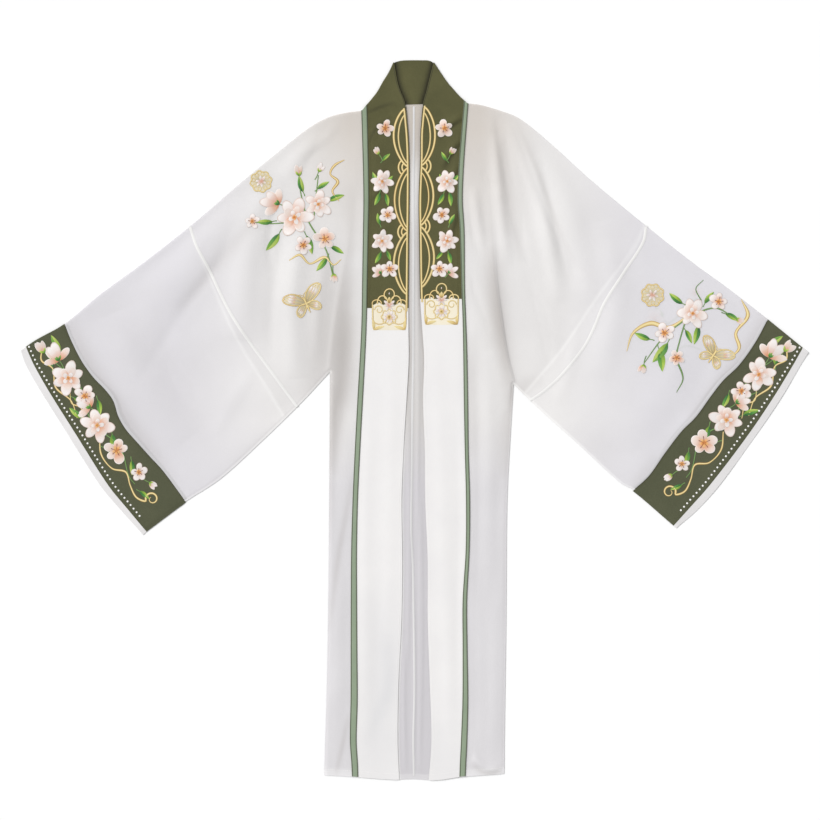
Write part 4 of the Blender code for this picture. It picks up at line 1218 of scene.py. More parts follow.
def pleat_shade(outline: Outline) -> Heights:
    """How deep the front lies in the shade, and most of all beside the pleat on the body's side."""
    def shade(points: Array) -> Array:
        """The share at places given as out, down and height."""
        beside = out_at(outline.fold, points[:, 1]) - points[:, 0]
        reach = np.where(beside > 0, PLEAT_SHADE_REACH, PLEAT_SHADE_REACH / 4)
        pleat = pleat_strengths(outline.side, points[:, 1])
        return PLEAT_SHADE * pleat * bell(beside, reach) + outline.shade(points)
    return shade


def band_shade(outline: Outline) -> Heights:
    """How deep the back lies in the shade of the band's free edge."""
    def shade(points: Array) -> Array:
        """The share at places given as out, down and height."""
        fade = np.clip((BAND_SHADE_END - points[:, 1]) / BAND_SHADE_EASE, 0, 1)
        return fade * bell(points[:, 0] - out_at(outline.free, points[:, 1]), BAND_SHADE_REACH)
    return shade


def gap_light(outline: Outline) -> Heights:
    """How much painted light brightens the back between the collar's ends, and over the left band's shadow
    beside its free edge.
    """
    def light(points: Array) -> Array:
        """The share at places given as out and down."""
        collar = bell(abs(points[:, 1] - NECK_LIGHT_DOWN), NECK_LIGHT_REACH, 3)
        collar = NECK_LIGHT * (points[:, 0] < NECK_LIGHT_OUT) * collar
        beside = out_at(outline.free, points[:, 1]) - EDGE_LIGHT_GAP - points[:, 0]
        fade = np.clip((points[:, 1] - EDGE_LIGHT_START) / EDGE_LIGHT_EASE, 0, 1)
        return np.maximum(collar, (outline.side < 0) * fade * bell(beside, EDGE_LIGHT_REACH))
    return light


@dataclass(frozen=True)
class Cut:
    """What shows of a piece as it is cut flat, all round where it is a tube, in metres."""

    width: float
    length: float
    area: float

    def state(self, obj: Piece, held: str = "laid", *rests_on: Piece) -> None:
        """Takes a sheet of cloth and does nothing with it."""


CUTS = {
    "body_front": {-1: Cut(0.37, 1.25, 0.154), 1: Cut(0.38, 1.25, 0.180)},
    "body_back": {-1: Cut(0.42, 1.25, 0.281), 1: Cut(0.43, 1.25, 0.290)},
    "sleeve": {-1: Cut(0.30, 0.86, 0.215), 1: Cut(0.30, 0.86, 0.210)},
    "cuff": {-1: Cut(0.092, 0.80, 0.0735), 1: Cut(0.096, 0.82, 0.0787)},
    "cuff_lining": {-1: Cut(0.017, 0.80, 0.0103), 1: Cut(0.016, 0.82, 0.0106)},
    "collar": {1: Cut(0.086, 1.03, 0.0756)},
    "front_band": {-1: Cut(0.088, 0.88, 0.0750), 1: Cut(0.080, 0.88, 0.0653)},
    "stripe": {-1: Cut(0.012, 1.24, 0.0140), 1: Cut(0.010, 1.24, 0.0112)},
}


@dataclass
class SheerBody:
    """Both halves of the sheer body with the upper sleeves, each folded over the shoulder."""

    outlines: dict[int, Outline]
    neckline: Array
    rows: int = 110
    skirt_rows: int = 120
    flat_columns: int = 16
    sleeve_columns: int = 76
    gap_columns: int = 24
    gap_reach: float = 34.0
    centre_columns: int = 8
    back_step: int = 3
    section: Array = field(default_factory=lambda: Path(PLEAT_SECTION, fine=4).points)

    def body_row(self, line: Array, strength: float = 0.0) -> tuple[Array, float]:
        """A row of the body with the pleat's section at its outer end.

        Args:
            line: The finely divided row.
            strength: How far the pleat is folded.

        Returns:
            The row's points, and how far the section is squeezed where the body is narrow.
        """
        part, width = self.section[self.section[:, 0] <= 0], spaced(line, [0])[1]
        squeeze = min(1, width / NARROW_BODY)
        near = width + squeeze * (part[:, 0] + (part[:, 1] - part[:, 0]) * strength)
        flat = near[0] * np.arange(self.flat_columns) / self.flat_columns
        return spaced(line, [*flat, *near])[0], squeeze

    def upper(self, outline: Outline, seam: Path, pleated: bool) -> tuple[list[Array], list[Array]]:
        """Rows from the shoulder to the underarm.

        Args:
            outline: The side's paths.
            seam: The seam half way down the sleeve.
            pleated: Whether the body folds over the sleeve here.

        Returns:
            The places of each row, and what the pleat adds to their heights.
        """
        shares, fine = sleeve_shares(self.rows), np.linspace(0, 1, FINE)
        seam_top, fold_top = seam.points[0, 0], outline.fold.points[0, 0]
        turns, fars = outline.fold.at(shares), seam.at(shares)
        downs = outline.upper_downs(shares)
        top_body = outline.top.between(float(outline.seam_out(downs[0])), fold_top, fine)
        top_sleeve = outline.top.between(fold_top, seam_top, fine)
        foot = outline.lower.between(outline.lower.points[0, 0], seam.points[-1, 0], fine)
        strengths = pleat_strengths(outline.side, turns[:, 1]) if pleated else np.zeros(len(shares))
        sleeve_part = self.section[self.section[:, 0] > 0]
        rows, heights = [], []
        for share, down, turn, far, strength in zip(shares, downs, turns, fars, strengths):
            inner = np.array([float(outline.seam_out(down)), down])
            body = inner + (turn - inner) * fine[:, None] + (1 - share) * bow_of(top_body, fine)
            sleeve = coons_row(top_sleeve, foot, turn, far, fine, share)
            body, squeeze = self.body_row(body, strength)
            width = spaced(sleeve, [0])[1]
            away = sleeve_part[:, 0] + (sleeve_part[:, 1] - sleeve_part[:, 0]) * strength
            rest = away[-1] + (width - away[-1]) * np.arange(1, self.sleeve_columns + 1) / self.sleeve_columns
            rows.append(np.vstack([body, spaced(sleeve, [*away, *rest])[0]]))
            pleat = np.concatenate([np.zeros(self.flat_columns), self.section[:, 2],
                                    np.zeros(self.sleeve_columns)])
            heights.append(np.maximum(pleat, 0) * strength * (LEAST_PLEAT + (1 - LEAST_PLEAT) * squeeze))
        return rows, heights

    def skirt(self, outline: Outline) -> tuple[list[Array], list[Array]]:
        """Rows below the underarm, from the band's seam to the side seam, and what the pleat adds there."""
        start = float(outline.upper_downs(np.array([0, 1]))[-1])
        end = float(outline.hem_down(outline.seam_out(outline.hem.points[0, 1])))
        hem_share = 1 - HEM_DEPTH / (end - start)
        shares = np.concatenate([np.linspace(0, hem_share, self.skirt_rows - 4),
                                 np.linspace(hem_share, 1, 5)[1:]])
        rows, heights = [], []
        body_part = self.section[self.section[:, 0] <= 0]
        for share in shares:
            edge, down = outline.side_edge.at(share), start + share * (end - start)
            inner = np.array([float(outline.seam_out(down)), down])
            line = inner + (edge - inner) * np.linspace(0, 1, FINE)[:, None]
            rows.append(self.body_row(line)[0])
            pleat = np.concatenate([np.zeros(self.flat_columns), np.maximum(body_part[:, 2], 0)])
            heights.append(pleat * pleat_strengths(outline.side, edge[1:])[0])
        return rows, heights

    def to_centre(self, outline: Outline, point: Array) -> Array:
        """A row of the back from the centre-back seam to where the front's seam lies above it."""
        centre = outline.side * CENTRE_BACK
        outs = np.concatenate([np.linspace(centre, self.gap_reach, self.gap_columns + 1),
                               np.linspace(BACK_PLACE, point[0], self.centre_columns)])
        neck = np.interp(outline.side * outs, *self.neckline)
        below_neck = np.clip((point[1] - outline.neck_down) / NECK_REACH, 0, 1)
        hem = outline.hem_down(outs)
        near_hem = np.clip(1 - (hem[-1] - point[1]) / HEM_REACH, 0, 1)
        downs = point[1] + (1 - below_neck) * (neck - neck[-1]) + near_hem * (hem - hem[-1])
        places = np.stack([outline.side * outs, downs], axis=1)
        height = BACK_LEVEL + GAP_RISE * below_neck * (outs <= self.gap_reach)
        for fold in GAP_FOLDS:
            gap, share = Path(fold[:3], fine=4).distance_to(places)
            height += fold.rise * tapered(share, GAP_TAPER) * bell(gap, fold.reach)
        row = np.stack([outs, downs, np.minimum(height, HIGHEST_GAP)], axis=1)
        row[-1] = point
        return row

    def half(self, side: int) -> tuple[Cloth, Cloth]:
        """The front of one half with its roll over the shoulder, and its back."""
        outline = self.outlines[side]
        rows, pleats = self.upper(outline, Path(FRONT_SEAM[side]), True)
        back, _ = self.upper(outline, Path(BACK_SEAM[side]), False)
        edge, outward = inset(outline.top, rows[0])
        front = [lifted(edge, FRONT_LEVEL + EDGE_RISE)]
        front += [lifted(row, closed_in(outline, row, outline.level(row) + pleat))
                  for row, pleat in zip(rows[1:], pleats[1:])]
        behind = [lifted(edge, BACK_LEVEL)]
        behind += lying_behind(outline, back[self.back_step::self.back_step] + back[-1:])
        cloth, backing = Cloth(side), Cloth(side)
        cloth.grid(front[::-1] + rolled(edge, outward) + behind[:1])
        backing.grid(behind)
        skirt, skirt_pleats = self.skirt(outline)
        columns = len(skirt[0])
        front_skirt = [front[-1][:columns]]
        front_skirt += [lifted(row, closed_in(outline, row, outline.level(row) + pleat))
                        for row, pleat in zip(skirt[1:], skirt_pleats[1:])]
        cloth.grid(front_skirt[::-1])
        plain = skirt[self.back_step:-5:self.back_step] + skirt[-5:]
        back_skirt = [behind[-1][:columns]] + lying_behind(outline, plain)
        backing.grid(back_skirt)
        inner = [row[0] for row in behind] + [row[0] for row in back_skirt[1:]]
        backing.grid([self.to_centre(outline, point) for point in inner])
        return cloth, backing

    def build(self) -> list[Piece]:
        """Both halves, front and back, dressed."""
        made = []
        for side, word in SIDES.items():
            front, back = self.half(side)
            dense = edge_ply(self.outlines[side])
            fronts = front.piece(f"body_{word}_front", ply=dense, shade=pleat_shade(self.outlines[side]))
            backs = back.piece(f"body_{word}_back", ply=dense, shade=band_shade(self.outlines[side]),
                               light=gap_light(self.outlines[side]))
            dress(fronts, Finish.SHEER, f"body_{word}")
            dress(backs, Finish.SHADED_SHEER_BACK)
            CUTS["body_front"][side].state(fronts, "laid", backs)
            CUTS["body_back"][side].state(backs)
            made += [fronts, backs]
        return made


def tube(outline: Outline, paths: Sequence[tuple[Path, Path]], columns: int, rows: int, back_step: int,
         drop: float = 0.0) -> Cloth:
    """A folded tube between two lines across the sleeve.

    Args:
        outline: The side's paths.
        paths: Its near and far lines, in front and behind.
        columns, rows: The grid's size.
        back_step: How many of the front's rows go to one of the back's.
        drop: How far the front comes down towards its far line.

    Returns:
        The cloth.
    """
    across, shares = np.linspace(0, 1, columns + 1), sleeve_shares(rows)
    layers = []
    for near, far in paths:
        top = outline.top.between(near.points[0, 0], far.points[0, 0], across)
        foot = outline.lower.between(near.points[-1, 0], far.points[-1, 0], across)
        layers.append([coons_row(top, foot, a, b, across, share)
                       for share, a, b in zip(shares, near.at(shares), far.at(shares))])
    front, back = layers
    edge, outward = inset(outline.top, front[0])
    upper = [lifted(edge, FRONT_LEVEL + EDGE_RISE)]
    upper += [lifted(row, closed_in(outline, row, outline.level(row) - drop * across)) for row in front[1:]]
    behind = [lifted(edge, BACK_LEVEL)] + lying_behind(outline, back[back_step:-1:back_step] + back[-1:])
    cloth = Cloth(outline.side)
    cloth.grid(upper[::-1] + rolled(edge, outward) + behind)
    return cloth


def shifted_in(path: Path, most: float) -> Path:
    """The line moved towards the body by up to this much half way down, and not at its ends."""
    towards = np.array([most, most / 2])
    marks = [path.at(share) - towards * np.sin(np.pi * share) for share in np.linspace(0, 1, 13)]
    marks[0], marks[-1] = path.points[0], path.points[-1]
    return Path(marks)


@dataclass
class Sleeves:
    """The lower sleeves of sheer cloth, their olive cuffs and the pale lining that shows past them."""

    outlines: dict[int, Outline]
    rows: int = 110
    sleeve_columns: int = 84
    cuff_columns: int = 14
    lining_columns: int = 3
    back_step: int = 3
    mouth_drop: float = 1.1
    bead_pitch: float = 8.6
    bead_radius: float = 1.9
    bead_insets: tuple[float, ...] = (5.5, 7.8, 9.6, 9.4, 9.0)
    bead_share: tuple[float, float] = (0.008, 0.93)
    bead_points: int = 90
    bead_height: float = 0.9
    bead_above: float = 0.5
    welt_width: float = 5.5
    welt_gap: float = 0.4
    edge_step: float = 4.0
    edge_radius: float = 0.6
    edge_above: float = 0.2

    def build(self) -> list[Piece]:
        """Sleeves, cuffs and linings of both sides, dressed."""
        made = []
        for side, word in SIDES.items():
            outline = self.outlines[side]
            inner, outer = Path(CUFF_INNER[side]), Path(CUFF_OUTER[side])
            inner_back, end = shifted_in(inner, BACK_CUFF_SHIFT), Path(LINING_END[side])
            lines = {
                "sleeve": ((Path(FRONT_SEAM[side]), inner), (Path(BACK_SEAM[side]), inner_back)),
                "cuff": ((inner, outer), (inner_back, outer)),
                "cuff_lining": ((outer, end), (outer, end)),
            }
            ways = {"sleeve": (Finish.SHEER, self.sleeve_columns, 0.0),
                    "cuff": (Finish.OLIVE_CUFF, self.cuff_columns, 0.0),
                    "cuff_lining": (Finish.LINING, self.lining_columns, self.mouth_drop)}
            for name, (finish, columns, drop) in ways.items():
                cloth = tube(outline, lines[name], columns, self.rows, self.back_step, drop)
                sheer = finish is Finish.SHEER
                numbers = {"ply": edge_ply(outline), "shade": outline.shade} if sheer else {}
                obj = cloth.piece(f"{name}_{word}_cloth", **numbers)
                if not sheer:
                    thickened(obj, DOUBLE_PLY / 2)
                dress(obj, finish, f"{name}_{word}")
                CUTS[name][side].state(obj)
                made.append(obj)
        return made

    def trim(self, ground: Ground, beads: BeadTree, cords: CordTree) -> None:
        """White dots near each cuff's mouth, the welt painted dark with the shade at its inner edge, and the
        dark line there.
        """
        for side, word in SIDES.items():
            outer, inner = Path(CUFF_OUTER[side]), Path(CUFF_INNER[side])
            shares = np.linspace(*self.bead_share, self.bead_points)
            insets = np.interp(shares, np.linspace(0, 1, len(self.bead_insets)), self.bead_insets)
            line = outer.at(shares)
            line = laid(ground, side, line + inward(outer, line) * insets[:, None], self.bead_above)
            row = line_object(f"cuff_beads_{word}", [line])
            beads.run(row, Pitch=self.bead_pitch * MM, Long=self.bead_radius * MM, Segments=12,
                      Wide=self.bead_radius * MM, High=self.bead_height * MM, Thread=Finish.WELT.material())
            dress(row, Finish.WELT)
            line = inner.every(self.edge_step)[1:-1]
            beside = Path(line + inward(inner, line) * (self.welt_width / 2 + self.welt_gap), fine=1)
            # The welt, painted with the shade at the cuff's inner edge
            welt(f"cuff_welt_{word}", side, beside, self.welt_width, ground.heights, finish=Finish.CUFF_WELT)
            line = laid(ground, side, line, self.edge_above)
            dark_line(f"cuff_edge_{word}", line, self.edge_radius, cords)


WELT_STEP = 5.0  # millimetres between a welt's rows
WELT_COLUMNS = 7
WELT_CLEAR = 0.05


def welt(name: str, side: int, path: Path, width: float, height: Heights, crown: float = 0.35,
         finish: Finish = Finish.SEAM) -> None:
    """A flat-felled seam: a narrow crowned strip along a path.

    Args:
        name: The piece's name.
        side: The side of the robe.
        path: Its middle.
        width: Its width.
        height: Gives the cloth's height at places across X and up Y.
        crown: How far its middle stands out.
        finish: Its material.
    """
    middle = path.every(WELT_STEP)
    square = inward(path, middle)
    rows = []
    for t in np.linspace(-1, 1, WELT_COLUMNS):
        row = middle + square * t * width / 2
        rows.append(lifted(row, height(flat_places(side, row)) + WELT_CLEAR + crown * (1 - t**4)))
    cloth = Cloth(side)
    cloth.grid([np.array(row) for row in zip(*rows)])
    obj = cloth.piece(name)
    if sum(polygon.normal.z * polygon.area for polygon in obj.data.polygons) < 0:
        obj.data.flip_normals()
    dress(obj, finish)


def dark_line(name: str, line: Array, radius: float, cords: CordTree) -> None:
    """A thin dark olive cord along a line of points in millimetres."""
    obj = line_object(name, [line], [np.full(len(line), radius)])
    cords.run(obj, Sides=6, Thread=Finish.OLIVE_EDGE.material())
    dress(obj, Finish.OLIVE_EDGE)


def inward(path: Path, points: Array) -> Array:
    """Unit vectors square to a path, from the mouth of the sleeve towards the body."""
    square = path.square_to(points)
    return np.where(square[:, :1] > 0, -square, square)


def flat_back(places: Array) -> Array:
    """The back layer's height at places in an array of any shape."""
    return np.full(places.shape[:-1], BACK_LEVEL)


def flat_places(side: int, points: Array) -> Array:
    """Places given as out and down, as places across X and up Y in millimetres."""
    return np.stack([side * points[..., 0], MIDDLE_DOWN - points[..., 1]], axis=-1)


def laid(ground: Ground, side: int, points: Array, above: float) -> Array:
    """A line on the cloth.

    Args:
        ground: The cloth.
        side: The side of the robe.
        points: Its points, as out and down.
        above: How far it lies above the cloth.

    Returns:
        Its points in X, Y and Z, in millimetres.
    """
    places = flat_places(side, points)
    return lifted(places, ground.heights(places) + above)


@dataclass
class Collar:
    """The olive band, from the left front up over the shoulder, round the back and down the right front."""

    outlines: dict[int, Outline]
    neckline: Array
    step: float = 3.0
    columns: int = 34
    fan_lines: int = 28
    back_rows: int = 26
    inner_shade: float = 0.95
    shade_reach: float = 8.0
    corner_gap: tuple[float, float] = (0.6, 0.3)

    def front(self, side: int) -> tuple[list[Array], list[Array], Array]:
        """Rows of the collar's front part, from its lower end up to its folded edge.

        Args:
            side: The side of the robe.

        Returns:
            The rows, how far each is lifted at the free edge, and the vectors out of the folded edge.
        """
        outline, free = self.outlines[side], Path(COLLAR_FREE[side])
        top, end = float(free.points[0, 1]), OLIVE_END[side]
        across = np.linspace(0, 1, self.columns + 1)
        downs = np.linspace(end, top, round((end - top) / self.step))
        rows = band_rows(outline, downs, across)
        fold = outline.collar_fold
        corner, start = outline.shoulder - np.array(self.corner_gap), rows[-1][-1]
        fold_row, outward = inset(fold, fold.at(1 - across))
        fold_row[-1], outward[-1] = corner, outline.shoulder_up[0]
        bow = bow_of(fold_row, across)
        shares = np.arange(1, self.fan_lines + 1) / (self.fan_lines + 1)
        for share in shares:
            foot = start + (corner - start) * share
            head = free.at(share) + (fold_row[0] - free.points[-1]) * share
            rows.append(head + (foot - head) * across[:, None] + bow * share**2)
        rows.append(fold_row)
        fades = np.concatenate([np.ones(len(downs)), 1 - shares**2, [0]])
        return rows, [fade * band_lift(across) for fade in fades], outward

    def behind(self, start: Array, end: Array, neckline: Array) -> list[Array]:
        """Rows round the back of the neck, between the backs of the two folded edges."""
        across, top = np.linspace(0, 1, len(start)), Path(COLLAR_BACK_TOP)
        bow_left, bow_right = bow_of(start, across), bow_of(end, across)
        rows = []
        for share in np.linspace(0, 1, self.back_rows + 2)[1:-1]:
            place = start[-1, 0] + (end[-1, 0] - start[-1, 0]) * share
            foot = np.array([place, np.interp(place, *neckline) - self.corner_gap[1], BACK_LEVEL])
            head = np.array([*top.at(share), BACK_LEVEL])
            head[0] = start[0, 0] + (end[0, 0] - start[0, 0]) * share
            row = head + (foot - head) * across[:, None]
            rows.append(row + bow_left * max(0, 1 - 2 * share) ** 2 + bow_right * max(0, 2 * share - 1) ** 2)
        return rows

    def shade(self, points: Array) -> Array:
        """How deep the cloth lies in the shade: behind its free edges, and in its creases."""
        behind, total = points[:, 2] < (BACK_LEVEL + LOWEST_FRONT) / 2, np.zeros(len(points))
        for side, outline in self.outlines.items():
            places, free = points[:, :2] * [side, 1], Path(COLLAR_FREE[side]).points[::-1]
            inside = np.interp(places[:, 1], free[:, 1], free[:, 0]) - places[:, 0]
            total += behind * self.inner_shade * bell(inside, self.shade_reach)
            total += ~behind * (places[:, 0] > 0) * outline.shade(places)
        return total

    def build(self) -> Piece:
        """The collar, dressed."""
        halves = {}
        for side, outline in self.outlines.items():
            rows, lifts, outward = self.front(side)
            front = [lifted(row, outline.level(row) + lift) for row, lift in zip(rows[:-1], lifts)]
            front.append(lifted(rows[-1], FRONT_LEVEL + EDGE_RISE))
            turn = rolled(rows[-1], outward) + [lifted(rows[-1], BACK_LEVEL)]
            halves[side] = [np.array(row) * [side, 1, 1] for row in front + turn]
        left, right = halves[-1], halves[1]
        cloth = Cloth(1)
        back = self.behind(left[-1], right[-1], self.neckline)
        cloth.grid([row[::-1] for row in left + back + right[::-1]])
        obj = thickened(cloth.piece("collar_cloth", shade=self.shade), DOUBLE_PLY)
        dress(obj, Finish.OLIVE, "collar")
        CUTS["collar"][1].state(obj, "folded")
        return obj


def band_lift(across: Array) -> Array:
    """The rise towards a band's free edge, its first column."""
    return BAND_LIFT * (1 - smooth(across / BAND_LIFT_SHARE))


def band_rows(outline: Outline, downs: Array, across: Array) -> list[Array]:
    """Level rows between a band's free edge and its seam."""
    rows = []
    for down in downs:
        inner, outer = float(out_at(outline.free, down)), float(outline.seam_out(down))
        rows.append(np.stack([inner + (outer - inner) * across, np.full(len(across), down)], axis=1))
    return rows


@dataclass
class FrontBands:
    """The two white satin bands below the collar."""

    outlines: dict[int, Outline]
    step: float = 6.0
    columns: int = 18

    def build(self) -> list[Piece]:
        """Both bands, dressed."""
        made = []
        for side, word in SIDES.items():
            outline, across = self.outlines[side], np.linspace(0, 1, self.columns + 1)
            start, end = OLIVE_END[side], float(outline.hem.points[0, 1])
            rows = band_rows(outline, np.linspace(start, end, round((end - start) / self.step)), across)
            rows[-1][:, 1] = outline.hem_down(rows[-1][:, 0])
            cloth = Cloth(side)
            cloth.grid([lifted(row, outline.level(row) + band_lift(across)) for row in rows][::-1])
            obj = thickened(cloth.piece(f"front_band_{word}_cloth", shade=outline.shade), BAND_PLY)
            dress(obj, Finish.SATIN, f"front_band_{word}")
            CUTS["front_band"][side].state(obj)
            made.append(obj)
        return made


@dataclass
class Trim:
    """The sage strips over the seams of band and front, with a dark piping along each edge."""

    outlines: dict[int, Outline]
    rows: int = 320
    crown: float = 0.4
    above: float = 0.75
    end_gap: float = 1.0
    piping_radius: float = 1.0
    piping_above: float = 1.0

    def column(self, outline: Outline, share: float, shift: float = 0.0) -> Array:
        """A line down the strip, at this share of its width from its inner edge and shifted outwards."""
        widths = Path([(row.down, getattr(row, SIDES[outline.side])) for row in STRIPE_WIDTHS])

        def out(downs: Array) -> Array:
            """How far out the line lies."""
            width = np.interp(downs, widths.points[:, 0], widths.points[:, 1])
            return out_at(outline.stripe, downs) - width * (1 - share) + shift
        top = outline.edge_down(out(outline.neck_down)) + self.end_gap
        foot = outline.hem_down(out(outline.hem.points[0, 1])) - self.end_gap
        downs = np.linspace(float(top), float(foot), self.rows)
        return np.stack([out(downs), downs, outline.at_seam(downs)], axis=1)

    def build(self, cords: CordTree) -> None:
        """Strips and pipings of both sides, dressed."""
        for side, word in SIDES.items():
            outline = self.outlines[side]
            columns = [self.column(outline, (t + 1) / 2) + [0, 0, self.above + self.crown * (1 - t**4)]
                       for t in np.linspace(-1, 1, 9)]
            cloth = Cloth(side)
            cloth.grid([np.array(row) for row in zip(*columns)][::-1])
            obj = thickened(cloth.piece(f"stripe_{word}_cloth"), STRIPE_PLY)
            dress(obj, Finish.SAGE, f"stripe_{word}")
            CUTS["stripe"][side].state(obj)
            for name, share, shift in (("inner", 0, self.piping_radius), ("outer", 1, -self.piping_radius)):
                points = self.column(outline, share, shift)
                line = lifted(flat_places(side, points[:, :2]), points[:, 2] + self.piping_above)
                thick = np.full(len(line), self.piping_radius)
                piping = line_object(f"piping_{word}_{name}_cord", [line], [thick])
                cords.run(piping, Sides=8, Thread=Finish.PIPING.material())
                dress(piping, Finish.PIPING, f"piping_{word}_{name}")


@dataclass
class Sewing:
    """Welts over the sleeve seams, the centre-back seam, painted shadow lines along the collar's free edges,
    and the rows of stitches.
    """

    outlines: dict[int, Outline]
    welt_width: float = 5.0
    back_welt_width: float = 4.2
    back_crown: float = 0.3
    centre_width: float = 3.6
    centre_crown: float = 0.25
    stitch_pitch: float = 3.4
    stitch_long: float = 1.15
    stitch_wide: float = 0.3
    sheer_above: float = 0.15
    olive_above: float = 0.12
    neck_above: float = 0.3
    neck_line: float = 86.5
    neck_ends: tuple[float, float] = (-17.0, 15.0)
    hem_ends: tuple[float, float] = (28.0, 2.0)
    free_ends: tuple[float, float] = (60.0, 1315.0)
    free_inset: float = 4.0
    cuff_step: float = 6.0
    cuff_insets: tuple[float, float] = (2.2, 3.0)
    seam_ends: tuple[float, float] = (20.0, 4.0)
    seam_inset: float = 9.5
    # The dark cord of painted shadow along the collar's free edge
    edge_step: float = 4.0
    edge_shift: float = 0.9
    edge_sunk: float = 0.3
    edge_radius: float = 0.7

    def stitches(self, name: str, finish: Finish, lines: Sequence[Array], beads: BeadTree) -> None:
        """Rows of stitches along lines on the cloth."""
        row, wide = line_object(name, lines), self.stitch_wide * MM
        beads.run(row, Pitch=self.stitch_pitch * MM, Long=self.stitch_long * MM, Wide=wide, High=wide,
                  Segments=5, Thread=finish.material())
        dress(row, finish)

    def sheer_lines(self, side: int) -> list[Array]:
        """The lines of stitches above the hem and inside the band's free edge."""
        outline = self.outlines[side]
        outs = np.linspace(outline.hem.points[0, 0] + self.hem_ends[0],
                           outline.hem.points[-1, 0] - self.hem_ends[1], 50)
        downs = np.linspace(OLIVE_END[side] + self.free_ends[0], self.free_ends[1], 180)
        return [np.stack([outs, outline.hem_down(outs) - HEM_DEPTH], axis=1),
                np.stack([out_at(outline.free, downs) + self.free_inset, downs], axis=1)]

    def olive_lines(self, side: int) -> list[Array]:
        """The lines of stitches inside both edges of the cuff, and beside the collar's seam."""
        outline, outer, inner = self.outlines[side], Path(CUFF_OUTER[side]), Path(CUFF_INNER[side])
        mouth, joined = (path.every(self.cuff_step)[1:-1] for path in (outer, inner))
        downs = np.linspace(outline.neck_down + self.seam_ends[0], OLIVE_END[side] - self.seam_ends[1], 100)
        return [mouth + inward(outer, mouth) * self.cuff_insets[0],
                joined - inward(inner, joined) * self.cuff_insets[1],
                np.stack([outline.seam_out(downs) - self.seam_inset, downs], axis=1)]

    def build(self, ground: Ground, beads: BeadTree, cords: CordTree) -> None:
        """All the welts, the painted shadow lines along the collar's free edges, and the stitches."""
        for side, word in SIDES.items():
            front, back = Path(FRONT_SEAM[side]), Path(BACK_SEAM[side])
            welt(f"seam_{word}_front", side, front, self.welt_width, ground.heights)
            welt(f"seam_{word}_back", side, back, self.back_welt_width, flat_back, self.back_crown)
            # A dark cord sunk along the collar's free edge: a painted shadow line where the fold casts shade
            edge = Path(COLLAR_FREE[side]).every(self.edge_step)[8:-2] + [self.edge_shift, 0]
            edge = laid(ground, side, edge, -self.edge_sunk)
            dark_line(f"collar_edge_{word}", edge, self.edge_radius, cords)
            sheer = [laid(ground, side, line, self.sheer_above) for line in self.sheer_lines(side)]
            self.stitches(f"stitching_{word}", Finish.WELT, sheer, beads)
            olive = [laid(ground, side, line, self.olive_above) for line in self.olive_lines(side)]
            self.stitches(f"olive_stitching_{word}", Finish.OLIVE, olive, beads)
        neck = np.stack([np.linspace(*self.neck_ends, 12), np.full(12, self.neck_line)], axis=1)
        neck = laid(ground, 1, neck, self.neck_above)
        self.stitches("neckline_stitching", Finish.WELT, [neck], beads)
        welt("seam_centre_back", 1, Path(CENTRE_SEAM), self.centre_width, ground.heights, self.centre_crown,
             Finish.CENTRE_WELT)


# Embroidery ------------

CHART_RUN = 16.0  # millimetres of a ribbon to one unit of its thread chart
CURVE_STEP = 2.2  # millimetres between a curved ribbon's points


class Spot(NamedTuple):
    """Where a motif lies: across X and down in millimetres, its size and its turn in degrees."""

    across: float
    down: float
    size: float
    turn: float = 0.0

    def place(self, points: Array) -> Array:
        """Local points, in shares of the size with Y along the motif, as places across X and up Y."""
        return turned(points, self.turn) * self.size + [self.across, MIDDLE_DOWN - self.down]


def turned(points: Array, degrees: float) -> Array:
    """Points turned about the origin."""
    a = np.radians(degrees)
    return points @ np.array([[np.cos(a), np.sin(a)], [-np.sin(a), np.cos(a)]])


def petal_shape(width: float, tip: float = 0.42, notch: float = 0.0, bend: float = 0.0,
                columns: int = 7) -> tuple[Array, Array]:
    """A petal or leaf of length 1 along Y.

    Args:
        width: Its width.
        tip: How pointed its tip is: 0.4 is round and 1 is sharp.
        notch: How deep its tip is cut in.
        bend: How far its tip leans over.
        columns: Points across it.

    Returns:
        A grid of points, and the chart of its threads, from 0 to 1 across and along.
    """
    root = 0.78
    s = 0.01 + 0.985 * (1 - (1 - np.linspace(0, 1, 10)) ** 1.6)[:, None]
    t = np.linspace(-1, 1, columns)[None, :]
    widest = root / (root + tip)
    half = width / 2 * (s / widest) ** root * ((1 - s) / (1 - widest)) ** tip
    x = half * t + bend * s**2
    y = s - notch * np.exp(-((t / 0.4) ** 2)) * s**8
    return np.stack([x, y], axis=-1), np.stack([(t + 1) / 2 + 0 * s, s + 0 * t], axis=-1)


def spiral(turns: float, start: float = 1.0, end: float = 0.12, count: int = 30) -> Array:
    """A spiral that winds in to the origin."""
    t = np.linspace(0, 1, count)
    angle, radius = 2 * np.pi * turns * t, start + (end - start) * t
    return np.stack([radius * np.cos(angle), radius * np.sin(angle)], axis=1)


def ring(radius: float, lobes: int = 0, depth: float = 0.0, count: int = 49) -> Array:
    """A closed circle about the origin, scalloped where it has lobes."""
    a = np.linspace(0, 2 * np.pi, count)
    wave = radius * (1 + depth * np.cos(lobes * a))
    return np.stack([wave * np.cos(a), wave * np.sin(a)], axis=1)


